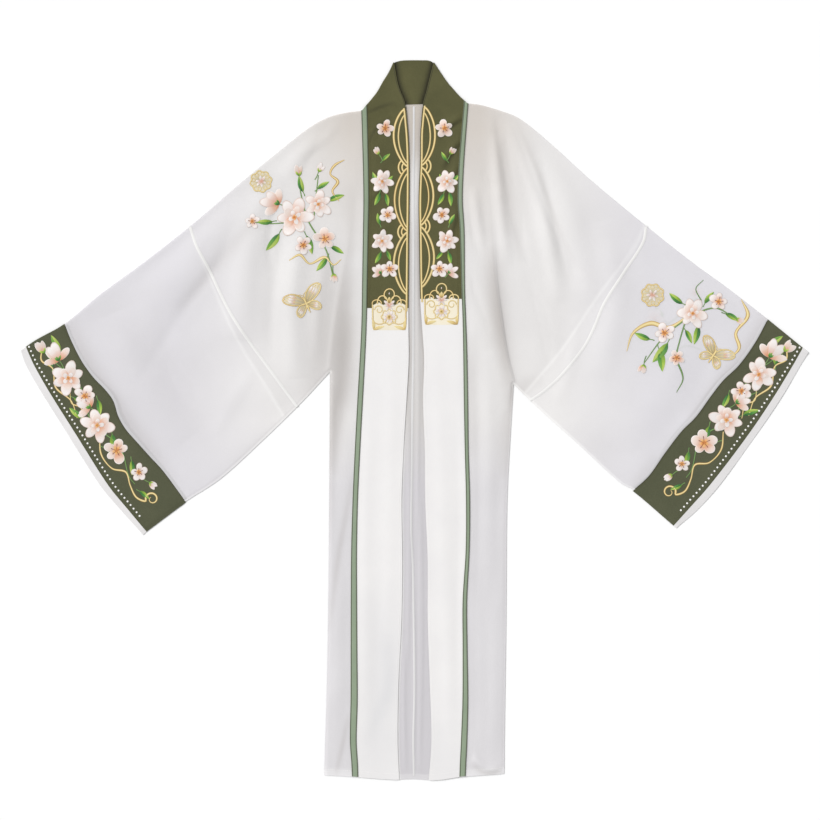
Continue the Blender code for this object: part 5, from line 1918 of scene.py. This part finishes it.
class Needlework:
    """The raised satin stitch of one embroidered place, gathered by finish and laid on the cloth."""

    def __init__(self, name: str, height: Heights, cords: CordTree, seed: int,
                 above: float = 0.15, relief: float = 1.0) -> None:
        self.name, self.height, self.cords, self.above, self.relief = name, height, cords, above, relief
        self.draw = np.random.default_rng(seed)
        self.patches: dict[Finish, list[tuple[Array, Array, Array, float]]] = {}
        self.lines: dict[Finish, list[tuple[Array, Array, float]]] = {}

    def patch(self, finish: Finish, places: Array, chart: Array, rise: float, lift: float = 0.0,
              crown: Optional[Array] = None) -> None:
        """Adds a raised patch.

        Args:
            finish: Its thread.
            places: Its grid across X and up Y.
            chart: The thread's chart, from 0 to 1 across and along.
            rise: How high it stands.
            lift: How far its edge lies above the cloth.
            crown: The share of the rise at each point, where it isn't the roundness of a petal.
        """
        if crown is None:
            t, s = 2 * chart[..., 0] - 1, chart[..., 1]
            crown = np.sqrt(np.clip(1 - t**4, 0, 1)) * np.clip(np.sin(np.pi * s), 0, 1) ** 0.35
        heights = (lift + (rise + self.above) * crown - self.above) * self.relief
        self.patches.setdefault(finish, []).append((places, heights, chart, float(self.draw.uniform())))

    def ribbon(self, finish: Finish, line: Array, widths: Union[float, Sequence[float]], rise: float = 0.4,
               lift: float = 0.0) -> None:
        """A narrow run of satin stitch along a line of places.

        Args:
            finish: Its thread.
            line: Places across X and up Y.
            widths: Its width, or its widths at even shares of the line.
            rise: How high it stands.
            lift: How far its edges lie above the cloth.
        """
        along = np.gradient(line, axis=0)
        along /= np.maximum(np.linalg.norm(along, axis=1), 1e-9)[:, None]
        square = np.stack([-along[:, 1], along[:, 0]], axis=1)
        widths, t = np.atleast_1d(widths), np.linspace(-1, 1, 5)
        half = np.interp(np.linspace(0, 1, len(line)), np.linspace(0, 1, len(widths)), widths) / 2
        chart = np.stack(np.broadcast_arrays(run_of(line)[:, None] / CHART_RUN, 1 - abs(t)), axis=-1)
        crown = np.broadcast_to(np.sqrt(1 - t**4), chart.shape[:2])
        places = line[:, None] + square[:, None] * (half[:, None] * t)[..., None]
        self.patch(finish, places, chart, rise, lift, crown)

    def curve(self, finish: Finish, places: Sequence[tuple[float, float]],
              widths: Union[float, Sequence[float]]) -> None:
        """A ribbon along a smooth line through places given as across and down."""
        path = Path([(across, MIDDLE_DOWN - down) for across, down in places], fine=9)
        self.ribbon(finish, path.every(CURVE_STEP), widths)

    def petals(self, finish: Finish, spot: Spot, count: int, length: float, width: float, first: float,
               lift: float, notch: float = 0.05, tip: float = 0.42, spread: float = 360.0) -> None:
        """A ring or fan of petals about a spot, each a little uneven."""
        for k in range(count):
            wide, long_, way = self.draw.uniform(-1, 1, 3) * (0.12, 0.11, 8)
            shape, chart = petal_shape(width / length * (1 + wide), tip, notch, 0.06 * (-1) ** k)
            places = spot.place(turned(shape * length * (1 + long_), first + spread * k / count + way))
            self.patch(finish, places, chart, 0.4, lift + 0.07 * (k % 3))

    def stamens(self, spot: Spot, count: int, length: float, lift: float) -> None:
        """Fine threads from the middle of a blossom, each ending in a knot."""
        for k in range(count):
            way = 360 * k / count + self.draw.uniform(-9, 9)
            reach = length * self.draw.uniform(0.8, 1.1)
            line = turned(np.stack([np.zeros(6), np.linspace(0.08, reach, 6)], axis=1), way)
            knot = np.array([0.5, 0.4, 0.38, 0.4, 0.8, 0.55])
            self.lines.setdefault(Finish.STAMEN, []).append((spot.place(line), knot, lift * self.relief))

    def plum(self, spot: Spot, finish: Finish) -> None:
        """A blossom of five round petals."""
        self.petals(finish, spot, 5, 1.0, 0.70, 0, 0.5, 0.02, 0.55)
        self.petals(Finish.HEART, spot, 5, 0.34, 0.24, 36, 0.85, 0, 0.7)
        self.stamens(spot, 5, 0.5, 1.1)

    def camellia(self, spot: Spot, finish: Finish) -> None:
        """A full blossom of three rings of petals."""
        self.petals(Finish.PALE_PETAL, spot, 6, 1.0, 0.58, 20, 0.45, 0.02, 0.6)
        self.petals(finish, spot, 5, 0.68, 0.46, 45, 0.8, 0.02, 0.55)
        self.petals(Finish.PALE_PETAL, spot, 4, 0.40, 0.28, 10, 1.1, 0, 0.6)
        self.petals(Finish.HEART, spot, 4, 0.16, 0.12, 0, 1.4, 0, 0.7)

    def half_open(self, spot: Spot, finish: Finish) -> None:
        """A blossom seen from its side, its petals fanned above a green cup."""
        self.stalk(spot, 0.5)
        self.petals(finish, spot, 4, 0.92, 0.42, -60, 0.3, 0.03, 0.6, 160)
        self.petals(Finish.PALE_PETAL, spot, 2, 1.0, 0.46, -14, 0.6, 0.03, 0.6, 56)
        self.petals(Finish.LEAF, spot, 3, 0.3, 0.14, -34, 0.8, 0, 0.9, 102)

    def bud(self, spot: Spot, finish: Finish) -> None:
        """A closed bud in its green cup, on a stalk."""
        self.stalk(spot, 0.9)
        self.petals(finish, spot, 3, 0.95, 0.44, -18, 0.3, 0, 0.75, 54)
        self.petals(Finish.YOUNG_LEAF, spot, 2, 0.45, 0.2, -30, 0.7, 0, 0.9, 120)

    def stalk(self, spot: Spot, length: float) -> None:
        """The thin green stalk behind a bud or leaf."""
        line = Path([(0, 0.08), (0.05 * length, -0.5 * length), (0, -length)], fine=5).points
        self.ribbon(Finish.STEM, spot.place(line), (1.5, 2.1), 0.3)

    def leaf(self, spot: Spot, finish: Finish) -> None:
        """A pointed leaf in two halves, one darker, on a short stalk."""
        shape, chart = petal_shape(0.34, 0.95, 0, 0.14, 9)
        other = Finish.LEAF if finish is Finish.YOUNG_LEAF else Finish.YOUNG_LEAF
        for first, thread in ((0, finish), (4, other)):
            half = chart[:, first:first + 5] * [2, 1] - [first / 4, 0]
            self.patch(thread, spot.place(shape[:, first:first + 5]), half, 0.35, 0.15)
        self.stalk(spot, 0.24)

    def moth(self, spot: Spot, _: Finish) -> None:
        """A gold moth seen from above, its wings filled with net about pale cells."""
        for way in (-1, 1):
            for turn, long_, wide, tip in ((46, 1.05, 0.48, 0.55), (116, 0.66, 0.56, 0.5)):
                shape, chart = petal_shape(wide, tip, 0.09, 0.16 * way)
                wing = turned(shape * long_, -way * turn)
                self.patch(Finish.NET_FILL, spot.place(wing), chart, 0.25, 0.1)
                rim = np.vstack([wing[:, 0], wing[-1, 1:-1], wing[:, -1][::-1]])
                self.ribbon(Finish.GOLD_FILL, spot.place(rim), 2.4, 0.35, 0.3)
                for column in (2, 4):
                    self.ribbon(Finish.GOLD_FILL, spot.place(wing[1:8, column]), 1.3, 0.3, 0.3)
                for lean in (-0.11, 0.0, 0.11):
                    cell, cell_chart = petal_shape(0.24, 0.5)
                    cell = turned(cell * [0.42, 0.36] + [lean + 0.05 * way, 0.44], -way * turn) * long_
                    self.patch(Finish.PALE_PETAL, spot.place(cell), cell_chart, 0.3, 0.35)
            feeler = (spiral(0.45, 0.36, 0.16, 12) + [-0.3, 0.24]) * [way, 1]
            self.ribbon(Finish.GOLD_FILL, spot.place(feeler), (1.0, 1.5), 0.3, 0.2)
        body = np.stack([np.zeros(9), np.linspace(-0.42, 0.3, 9)], axis=1)
        self.ribbon(Finish.GOLD_FILL, spot.place(body), (1.4, 3.4, 4.6, 3.6, 4.8, 2.4), 0.8, 0.4)

    def medallion(self, spot: Spot, _: Finish) -> None:
        """A scalloped gold disc of net with a pale star in it."""
        share, disc = np.linspace(0.03, 1, 6)[:, None], ring(1, 8, 0.07)
        chart = np.stack(np.broadcast_arrays(np.linspace(0, 2, len(disc)), share), axis=-1)
        places, crown = spot.place(disc * share[..., None]), 1 - chart[..., 1] ** 6
        self.patch(Finish.NET_FILL, places, chart, 0.2, 0.1, crown)
        self.ribbon(Finish.GOLD_FILL, spot.place(disc), 2.6, 0.35, 0.25)
        for k in range(8):
            centre = turned(np.array([0, 0.73]), 45 * k + 22.5)
            self.ribbon(Finish.GOLD_FILL, spot.place(ring(0.17, count=13) + centre), 1.2, 0.3, 0.3)
        self.petals(Finish.PALE_PETAL, spot, 6, 0.6, 0.24, 0, 0.35, 0, 0.7)

    def sew(self) -> None:
        """Makes one piece of each finish's patches and one of its cords."""
        for finish, patches in self.patches.items():
            points, faces, charts, tones = [], [], [], []
            for places, heights, chart, tone in patches:
                start, (rows, columns) = len(points), heights.shape
                points += list(lifted(places, self.height(places) + self.above + heights).reshape(-1, 3) * MM)
                charts += list(chart.reshape(-1, 2))
                tones += [tone] * (rows * columns)
                cells = start + np.arange(rows * columns).reshape(rows, columns)
                quads = np.stack([cells[:-1, :-1], cells[:-1, 1:], cells[1:, 1:], cells[1:, :-1]], axis=-1)
                row, column = (rows - 1) // 2, (columns - 1) // 2
                along = places[row, column + 1] - places[row, column]
                up = places[row + 1, column + 1] - places[row, column + 1]
                face_up = along[0] * up[1] > along[1] * up[0]
                faces += [list(map(int, quad if face_up else quad[::-1])) for quad in quads.reshape(-1, 4)]
            name = finish.value[1].name
            obj = new_object(f"{self.name}_{name}", np.array(points), faces)
            set_numbers(obj.data, "tone", np.array(tones))
            corners = [loop.vertex_index for loop in obj.data.loops]
            obj.data.uv_layers.new(name="stitch").data.foreach_set("uv", np.array(charts)[corners].ravel())
            dress(obj, finish)
        for finish, lines in self.lines.items():
            runs = [lifted(places, self.height(places) + self.above + lift) for places, _, lift in lines]
            name = finish.value[1].name
            cord = line_object(f"{self.name}_{name}_cord", runs, [radius for _, radius, _ in lines])
            self.cords.run(cord, Sides=5, Thread=finish.material())
            dress(cord, finish)


class Motif(Enum):
    """The motifs that a layout can name, each a method of Needlework."""

    PLUM = "plum"
    CAMELLIA = "camellia"
    HALF_OPEN = "half_open"
    BUD = "bud"
    LEAF = "leaf"
    MOTH = "moth"
    MEDALLION = "medallion"


# Short names, for the tables below alone
P, C, H, B, L = Motif.PLUM, Motif.CAMELLIA, Motif.HALF_OPEN, Motif.BUD, Motif.LEAF
M, K = Motif.MOTH, Motif.MEDALLION
PINK, PALE, GREEN, YOUNG = Finish.PETAL, Finish.PALE_PETAL, Finish.LEAF, Finish.YOUNG_LEAF
STEM, SCROLL = Finish.STEM, Finish.GOLD_FILL


def layout(*rows: tuple) -> tuple[tuple[Motif, Finish, Spot], ...]:
    """A table of motifs: what each is, its finish, and the values of its spot."""
    return tuple((motif, finish, Spot(*spot)) for motif, finish, *spot in rows)


# The motifs of each spray: their places across X and down, a size and a turn
LEFT_SPRAY = layout(
    (L, GREEN, -200, 326, 36, 205), (L, YOUNG, -250, 322, 40, 150), (L, GREEN, -160, 262, 32, -62),
    (L, GREEN, -262, 300, 30, 100), (L, GREEN, -206, 246, 32, 22), (L, YOUNG, -180, 240, 26, -50),
    (L, YOUNG, -156, 346, 28, -110), (L, GREEN, -162, 366, 32, 150), (H, PINK, -250, 268, 34, 62),
    (C, PINK, -222, 292, 35, 12), (C, PINK, -178, 268, 26, -20), (P, PINK, -166, 332, 21, 10),
    (P, PALE, -206, 344, 17, 40), (B, PINK, -214, 216, 22, 8), (B, PALE, -178, 208, 18, -24),
    (B, PINK, -150, 396, 17, -176), (M, PINK, -200, 452, 42, 24), (K, PINK, -284, 226, 19, 12),
    (P, PALE, -300, 300, 14, 0))
# Stems and scrolls: the finish, places across X and down, and widths along the line
LEFT_STEMS = (
    (STEM, ((-150, 404), (-164, 352), (-196, 300), (-210, 250), (-214, 222)), (2.4, 3.0, 2.0)),
    (STEM, ((-186, 290), (-182, 250), (-178, 214)), (2.6, 1.8)),
    (STEM, ((-222, 300), (-262, 304), (-298, 302)), (2.6, 1.6)),
    (SCROLL, ((-130, 186), (-148, 196), (-156, 212), (-142, 226), (-152, 244), (-140, 262)),
     (1.5, 5, 3, 6, 3.6, 1.6)),
    (SCROLL, ((-232, 372), (-212, 362), (-194, 378), (-166, 366), (-150, 380), (-136, 370)),
     (1.5, 5, 3, 5.6, 3.4, 1.5)),
)
RIGHT_SPRAY = layout(
    (L, GREEN, 468, 524, 46, 150), (L, YOUNG, 452, 536, 42, 196), (L, GREEN, 524, 492, 36, 176),
    (L, YOUNG, 536, 452, 28, -30), (L, GREEN, 496, 452, 32, 60), (L, GREEN, 574, 470, 30, -110),
    (L, YOUNG, 436, 518, 32, 76), (L, YOUNG, 500, 500, 28, 214), (C, PINK, 514, 470, 28, 0),
    (P, PALE, 462, 506, 20, 20), (P, PALE, 562, 448, 18, -10), (P, PINK, 484, 552, 16, 30),
    (B, PINK, 424, 564, 18, 165), (B, PINK, 594, 480, 16, -110), (M, PINK, 552, 548, 38, -34),
    (K, PINK, 440, 436, 20, 24))
RIGHT_STEMS = (
    (STEM, ((594, 480), (556, 460), (510, 476), (462, 512), (424, 562)), (1.8, 3.0, 3.4, 2.6, 1.6)),
    (STEM, ((500, 486), (490, 520), (484, 552), (496, 590), (484, 616)), (3.0, 2.6, 3.6, 1.2)),
    (STEM, ((530, 446), (520, 424), (534, 408)), (2.4, 1.2)),
    (SCROLL, ((392, 540), (404, 506), (436, 488), (470, 496), (506, 474)), (1.2, 5, 9, 7, 2)),
    (SCROLL, ((604, 444), (616, 474), (594, 506), (600, 534), (584, 552)), (1.4, 7.5, 5, 7, 1.2)),
)
BACK_STEMS = (
    (STEM, ((448, 500), (484, 478), (500, 452), (520, 440)), (2.4, 3.4, 2.0)),
    (STEM, ((436, 540), (466, 548), (500, 530), (530, 536)), (2.0, 3.0, 1.6)),
)
BACK_SPRAY = layout(
    (L, GREEN, 462, 482, 30, 40), (L, YOUNG, 512, 446, 22, -80), (P, PALE, 520, 432, 15, 0),
    (L, YOUNG, 470, 552, 28, 130), (C, PINK, 444, 480, 20, 10))
COLLAR_SPRAY = layout(
    (P, PINK, 55, 128, 17, 10), (B, PINK, 66, 176, 15, -30), (L, GREEN, 60, 188, 20, 40),
    (L, GREEN, 66, 232, 26, -35), (L, YOUNG, 56, 236, 26, 30), (C, PINK, 60, 226, 22, 0),
    (L, GREEN, 64, 246, 26, 195), (L, YOUNG, 54, 248, 24, 160), (P, PALE, 50, 288, 16, 30),
    (L, YOUNG, 64, 306, 22, -20), (C, PINK, 60, 336, 22, 20), (L, GREEN, 62, 356, 24, 200),
    (L, YOUNG, 52, 354, 20, 150), (P, PALE, 46, 388, 17, 0), (H, PALE, 62, 396, 20, -40))
# The motifs along a cuff, as shares of its length and width, a size, and a turn from the cuff's own line
CUFF_SPRAY = layout(
    (L, GREEN, 0.10, 0.3, 34, 165), (L, YOUNG, 0.145, 0.66, 32, -150), (L, GREEN, 0.31, 0.62, 34, -30),
    (L, YOUNG, 0.38, 0.24, 30, 20), (L, YOUNG, 0.415, 0.7, 32, 150), (L, GREEN, 0.55, 0.3, 34, 24),
    (L, YOUNG, 0.58, 0.62, 30, -36), (L, GREEN, 0.70, 0.32, 28, 30), (L, YOUNG, 0.835, 0.6, 24, -20),
    (H, PINK, 0.135, 0.44, 34, 178), (B, PINK, 0.07, 0.66, 24, 170), (C, PINK, 0.225, 0.46, 31, 0),
    (P, PALE, 0.335, 0.4, 20, 20), (H, PINK, 0.395, 0.46, 30, 160), (C, PINK, 0.48, 0.5, 32, 30),
    (P, PINK, 0.625, 0.44, 24, 10), (P, PALE, 0.765, 0.36, 16, 0), (B, PALE, 0.83, 0.34, 18, -20))
# The scrolls along a cuff: places as shares of its length and width, and widths in millimetres
CUFF_SCROLLS = (
    (((0.035, 0.6), (0.09, 0.8), (0.15, 0.66), (0.23, 0.82), (0.32, 0.7), (0.40, 0.8)),
     (2, 3.6, 2.4, 3.8, 2.4, 1.4)),
    (((0.28, 0.6), (0.33, 0.72), (0.37, 0.62), (0.43, 0.72)), (1.2, 3.2, 1.4)),
    (((0.53, 0.58), (0.60, 0.76), (0.68, 0.74), (0.73, 0.56), (0.79, 0.66), (0.85, 0.72)),
     (2, 3.4, 2.4, 4.0, 2.6, 3.6)),
)


def embroider(work: Needlework, motifs: Sequence[tuple[Motif, Finish, Spot]], mirrored: bool = False) -> None:
    """Sews the motifs of a layout, or their mirror image."""
    for motif, finish, spot in motifs:
        if mirrored:
            spot = spot._replace(across=-spot.across, turn=-spot.turn)
        getattr(work, motif.value)(spot, finish)


@dataclass
class SleeveSprays:
    """A flowering spray on each sleeve, and one on the right sleeve's back that shows through the cloth."""

    ground: Ground
    cords: CordTree
    above_behind: float = 0.05
    relief_behind: float = 0.35

    def build(self) -> None:
        """All three sprays."""
        left = Needlework("spray_left", self.ground.heights, self.cords, SPRAY_SEED)
        right = Needlework("spray_right", self.ground.heights, self.cords, SPRAY_SEED + 1)
        behind = Needlework("spray_behind", flat_back, self.cords, SPRAY_SEED + 2, self.above_behind,
                            self.relief_behind)
        for work, stems, motifs in ((left, LEFT_STEMS, LEFT_SPRAY), (right, RIGHT_STEMS, RIGHT_SPRAY),
                                    (behind, BACK_STEMS, BACK_SPRAY)):
            for finish, places, widths in stems:
                work.curve(finish, places, widths)
            embroider(work, motifs)
            work.sew()


@dataclass
class CuffVines:
    """A flowering vine with a gold scroll along each cuff."""

    ground: Ground
    cords: CordTree
    curl_place: tuple[float, float] = (0.90, 0.5)
    curl_size: float = 13.0

    def build(self) -> None:
        """Both vines."""
        for side, word in SIDES.items():
            inner, outer = Path(CUFF_INNER[side]), Path(CUFF_OUTER[side])
            work = Needlework(f"cuff_{word}", self.ground.heights, self.cords, CUFF_SEED + side)

            def place(share: float, across: float) -> tuple[float, float]:
                """Across and down at a share of the cuff's length, and over it from its inner edge."""
                out, down = inner.at(share) * (1 - across) + outer.at(share) * across
                return side * out, down

            def spot(share: float, across: float, size: float, turn: float) -> Spot:
                """A spot whose turn is measured from the cuff's own line."""
                here, there = place(share, across), place(share + 0.01, across)
                way = np.degrees(np.arctan2(here[1] - there[1], there[0] - here[0])) - 90
                return Spot(*here, size, way + side * turn)

            vine = [place(share, 0.46 + 0.12 * np.sin(18 * share)) for share in np.linspace(0.09, 0.80, 22)]
            work.curve(STEM, vine, (1.6, 3, 2.4, 3, 1.6))
            for marks, widths in CUFF_SCROLLS[:2]:
                work.curve(SCROLL, [place(*mark) for mark in marks], widths)
            curl = spot(*self.curl_place, self.curl_size, 200).place(spiral(1.2, 1.0, 0.3, 12) * [side, 1])
            tail = [place(*mark) for mark in CUFF_SCROLLS[2][0]] + [(x, MIDDLE_DOWN - y) for x, y in curl]
            work.curve(SCROLL, tail, (*CUFF_SCROLLS[2][1], 4.2, 3.4, 1.4))
            embroider(work, [(motif, finish, spot(*where)) for motif, finish, where in CUFF_SPRAY])
            work.sew()


@dataclass
class CollarWork:
    """The chain of gold ovals along the collar's free edges, its blossoms, and a gold tile below each end."""

    outlines: dict[int, Outline]
    ground: Ground
    cords: CordTree
    links: dict[int, tuple[tuple[float, float], ...]] = field(default_factory=lambda: {
        -1: ((93.5, 198), (201.5, 317), (320.5, 434)), 1: ((89, 196), (200, 307), (310, 421))})
    joins: dict[int, tuple[float, ...]] = field(default_factory=lambda: {-1: (200, 319), 1: (198, 308.5)})
    ovals: tuple[tuple[float, float, float, float], ...] = ((24.0, 0, 0, 3.9), (15.4, 10, 6, 2.9))
    rings: tuple[tuple[float, float], ...] = ((17.0, 3.6), (10.4, 3.4))
    edge_gap: float = 3.4
    edge_width: float = 3.5
    ring_end: float = 0.92
    corner_leaves: tuple[tuple[float, float, float], ...] = ((62, 21.0, -0.16), (6, 20.0, 0.16))
    top_leaves: tuple[tuple[float, float], ...] = ((38, 14.0), (74, 10.5), (140, 11.0))
    frame_width: float = 2.6
    lobes: tuple[tuple[float, float, float], ...] = (
        (-23.0, 8.5, 7.5), (-12.5, 9.5, 15.0), (23.0, 8.5, 7.5), (12.5, 9.5, 15.0))
    tile_width: float = 62.0
    tile_height: float = 52.0
    tile_centre: dict[int, tuple[float, float]] = field(
        default_factory=lambda: {-1: (46.9, 476.4), 1: (49.7, 466.5)})

    def edge(self, side: int, downs: Array) -> Array:
        """How far out the line inside the free edge lies, on the sloping part of the collar too."""
        outline, slope = self.outlines[side], Path(COLLAR_FREE[side])
        upper = np.interp(downs, slope.points[::-1, 1], slope.points[::-1, 0])
        return np.where(downs < slope.points[0, 1], upper, out_at(outline.free, downs)) + self.edge_gap

    def chain(self, work: Needlework, side: int) -> None:
        """The line inside the free edge, the ovals and the half rings that join them."""
        def add(outs: Array, downs: Array, width: float, lift: float = 0.0) -> None:
            """One gold line."""
            work.ribbon(SCROLL, flat_places(side, np.stack([outs, downs], axis=1)), width, 0.4, lift)
        downs = np.linspace(self.links[side][0][0] - 3, OLIVE_END[side] + 6, 110)
        add(self.edge(side, downs), downs, self.edge_width, 0.1)
        for start, end in self.links[side]:
            t = 0.5 - 0.5 * np.cos(np.linspace(0.02, np.pi - 0.02, 34))
            for bulge, later, sooner, width in self.ovals:
                downs = start + later + (end - start - later - sooner) * t
                add(self.edge(side, downs) + bulge * np.sin(np.pi * t) ** 0.68, downs, width)
        for join in self.joins[side]:
            a = np.linspace(-self.ring_end, self.ring_end, 16)
            for radius, width in self.rings:
                downs = join + radius * np.sin(a)
                add(self.edge(side, downs) + radius * np.cos(a), downs, width, -0.1)

    def tile(self, work: Needlework, side: int) -> None:
        """A cream tile in a gold frame with a crown of lobes, a rosette in it and leaves in its corners."""
        out, down = self.tile_centre[side]
        spot = Spot(side * out, down, 1.0)
        wide, high = self.tile_width / 2, self.tile_height / 2

        def add(points: Array, width: float = 2.2, lift: float = 0.35) -> None:
            """One gold line, in millimetres from the tile's middle."""
            work.ribbon(SCROLL, spot.place(points), width, 0.4, lift)

        s, t = np.linspace(-1, 1, 14)[:, None], np.linspace(-1, 1, 16)[None, :]
        up = high * (0.94 * s + 0.10 * np.cos(3 * np.pi * t) * (s > 0.9))
        ground = np.stack(np.broadcast_arrays(wide * 0.97 * t, up), axis=-1)
        along = 0.8 + 0.2 * np.cos(2 * np.pi * s) * np.cos(2 * np.pi * t)
        chart = np.stack(np.broadcast_arrays((t + 1) * 1.6, along), axis=-1)
        work.patch(Finish.CREAM_FILL, spot.place(ground), chart, 0.15, 0.05, (1 - s**8) * (1 - t**8))
        for way in (-1, 1):
            side_line = np.array([(way * wide, high * 0.9), (way * wide * 0.98, -high * 0.5)])
            add(divided(side_line, 3), self.frame_width)
            for turn, long_, lean in self.corner_leaves:
                shape, leaf = petal_shape(0.3, 0.9, 0, way * lean)
                places = spot.place(turned(shape * long_, way * turn) + [way * (wide - 2), 2 - high])
                work.patch(SCROLL, places, leaf * [1, 0.6] + [0, 0.4], 0.5, 0.3)
            add(turned(ring(1, count=40)[:22] * [13.5, 11.5], 0) * [way, -1] + [way * (wide - 13), -2.0], 2.0)
            add(spiral(1.1, 8.5, 3.0, 24) * [way, 1] + [way * (wide - 12), high - 13], (2.2, 1.6))
        add(ring(13.6, 8, 0.09), 2.2)
        work.petals(Finish.PALE_PETAL, spot, 8, 11.6, 5.0, 22.5, 0.4, 0, 0.6)
        work.petals(SCROLL, spot, 8, 5.4, 2.6, 0, 0.75, 0, 0.7)
        self.crown_of(work, spot, high, add)

    def crown_of(self, work: Needlework, spot: Spot, high: float, add: Callable[..., None]) -> None:
        """The five lobes of the tile's top, the middle one tall with a drop and a pearl in it."""
        a = np.linspace(0, np.pi, 26)
        for middle, half, tall in self.lobes:
            add(np.stack([middle + half * np.cos(a), high + tall * np.sin(a) ** 0.8 - 2], axis=1),
                self.frame_width)
        body = turned(ring(1, count=40)[:32] * [9.0, 9.6], -54)
        add(body * [1, 1.12] + [0, high + 15.5], self.frame_width, 0.45)
        shape, chart = petal_shape(0.5, 0.8)
        for place, size, finish in (((0, high + 15), 4.4, PALE), ((0, high - 1), 12.0, SCROLL)):
            work.patch(finish, spot.place(shape * size + place), chart, 0.5, 0.45)
        for way in (-1, 1):
            for turn, long_ in self.top_leaves:
                shape, chart = petal_shape(0.38, 0.6, 0, 0.1 * way)
                places = spot.place(turned(shape * long_, -way * turn) + [0, high - 6])
                work.patch(PALE, places, chart, 0.4, 0.5)

    def build(self) -> None:
        """Chain, blossoms and tile of both sides."""
        for side, word in SIDES.items():
            work = Needlework(f"collar_{word}", self.ground.heights, self.cords, CHAIN_SEED + side)
            self.chain(work, side)
            embroider(work, COLLAR_SPRAY, side < 0)
            work.sew()
            tile = Needlework(f"tile_{word}", self.ground.heights, self.cords, TILE_SEED + side)
            self.tile(tile, side)
            tile.sew()


def divided(corners: Array, step: float) -> Array:
    """Straight runs between corners, with points about this far apart."""
    runs = []
    for start, end in zip(corners, corners[1:]):
        count = max(2, round(np.linalg.norm(end - start) / step))
        runs.append((start + (end - start) * np.linspace(0, 1, count)[:, None])[:-1])
    return np.vstack(runs + [corners[-1:]])


# The studio ------------


@dataclass
class Studio:
    """A plain pale floor, soft light, and a camera straight above the robe."""

    lens: float = 100.0
    sensor: float = 36.0
    floor_side: float = 30.0
    floor_gap: float = 0.0004
    middle: tuple[float, float] = (-0.0086, 0.01885)
    sky: float = 0.50
    sun: float = 2.46
    sun_angle: float = 34.0
    sun_from: tuple[float, float, float] = (-0.75, 0.50, 1.0)

    def build(self) -> None:
        """Floor, lights, world and camera."""
        corners = np.array([(-1, -1, 0), (1, -1, 0), (1, 1, 0), (-1, 1, 0)]) * self.floor_side / 2
        floor = new_object("floor", corners - [0, 0, self.floor_gap], [[0, 1, 2, 3]], False)
        floor.data.materials.append(Paper().material())
        world = bpy.data.worlds.new("studio")
        world.use_nodes = True
        world.node_tree.nodes["Background"].inputs[0].default_value = (1, 1, 1, 1)
        world.node_tree.nodes["Background"].inputs[1].default_value = self.sky
        bpy.context.scene.world = world
        light = bpy.data.lights.new("key", "SUN")
        light.energy, light.angle = self.sun, np.radians(self.sun_angle)
        key = bpy.data.objects.new("key", light)
        key.rotation_euler = Vector(self.sun_from).to_track_quat("Z", "Y").to_euler()
        bpy.context.collection.objects.link(key)
        camera = bpy.data.cameras.new("camera")
        camera.lens, camera.sensor_width = self.lens, self.sensor
        camera.clip_end = 100
        eye = bpy.data.objects.new("camera", camera)
        eye.location = (*self.middle, IMAGE_SIDE * PIXEL * MM * self.lens / self.sensor)
        bpy.context.collection.objects.link(eye)
        bpy.context.scene.camera = eye
        bpy.context.scene.view_settings.view_transform = "Standard"


def main() -> None:
    """Builds the robe and its studio."""
    outlines = {side: Outline(side) for side in SIDES}
    (left_out, left_down), (right_out, right_down) = (outlines[side].shoulder for side in SIDES)
    neckline = np.array([(-left_out, left_down), NECK_BEND, (right_out, right_down)]).T
    body = SheerBody(outlines, neckline).build()
    sleeves = Sleeves(outlines)
    made = body + sleeves.build() + [Collar(outlines, neckline).build()] + FrontBands(outlines).build()
    ground = Ground(made)
    cords, beads = CordTree(), BeadTree()
    Trim(outlines).build(cords)
    sleeves.trim(ground, beads, cords)
    Sewing(outlines).build(ground, beads, cords)
    SleeveSprays(ground, cords).build()
    CuffVines(ground, cords).build()
    CollarWork(outlines, ground, cords).build()
    Studio().build()


if __name__ == "__main__":
    main()
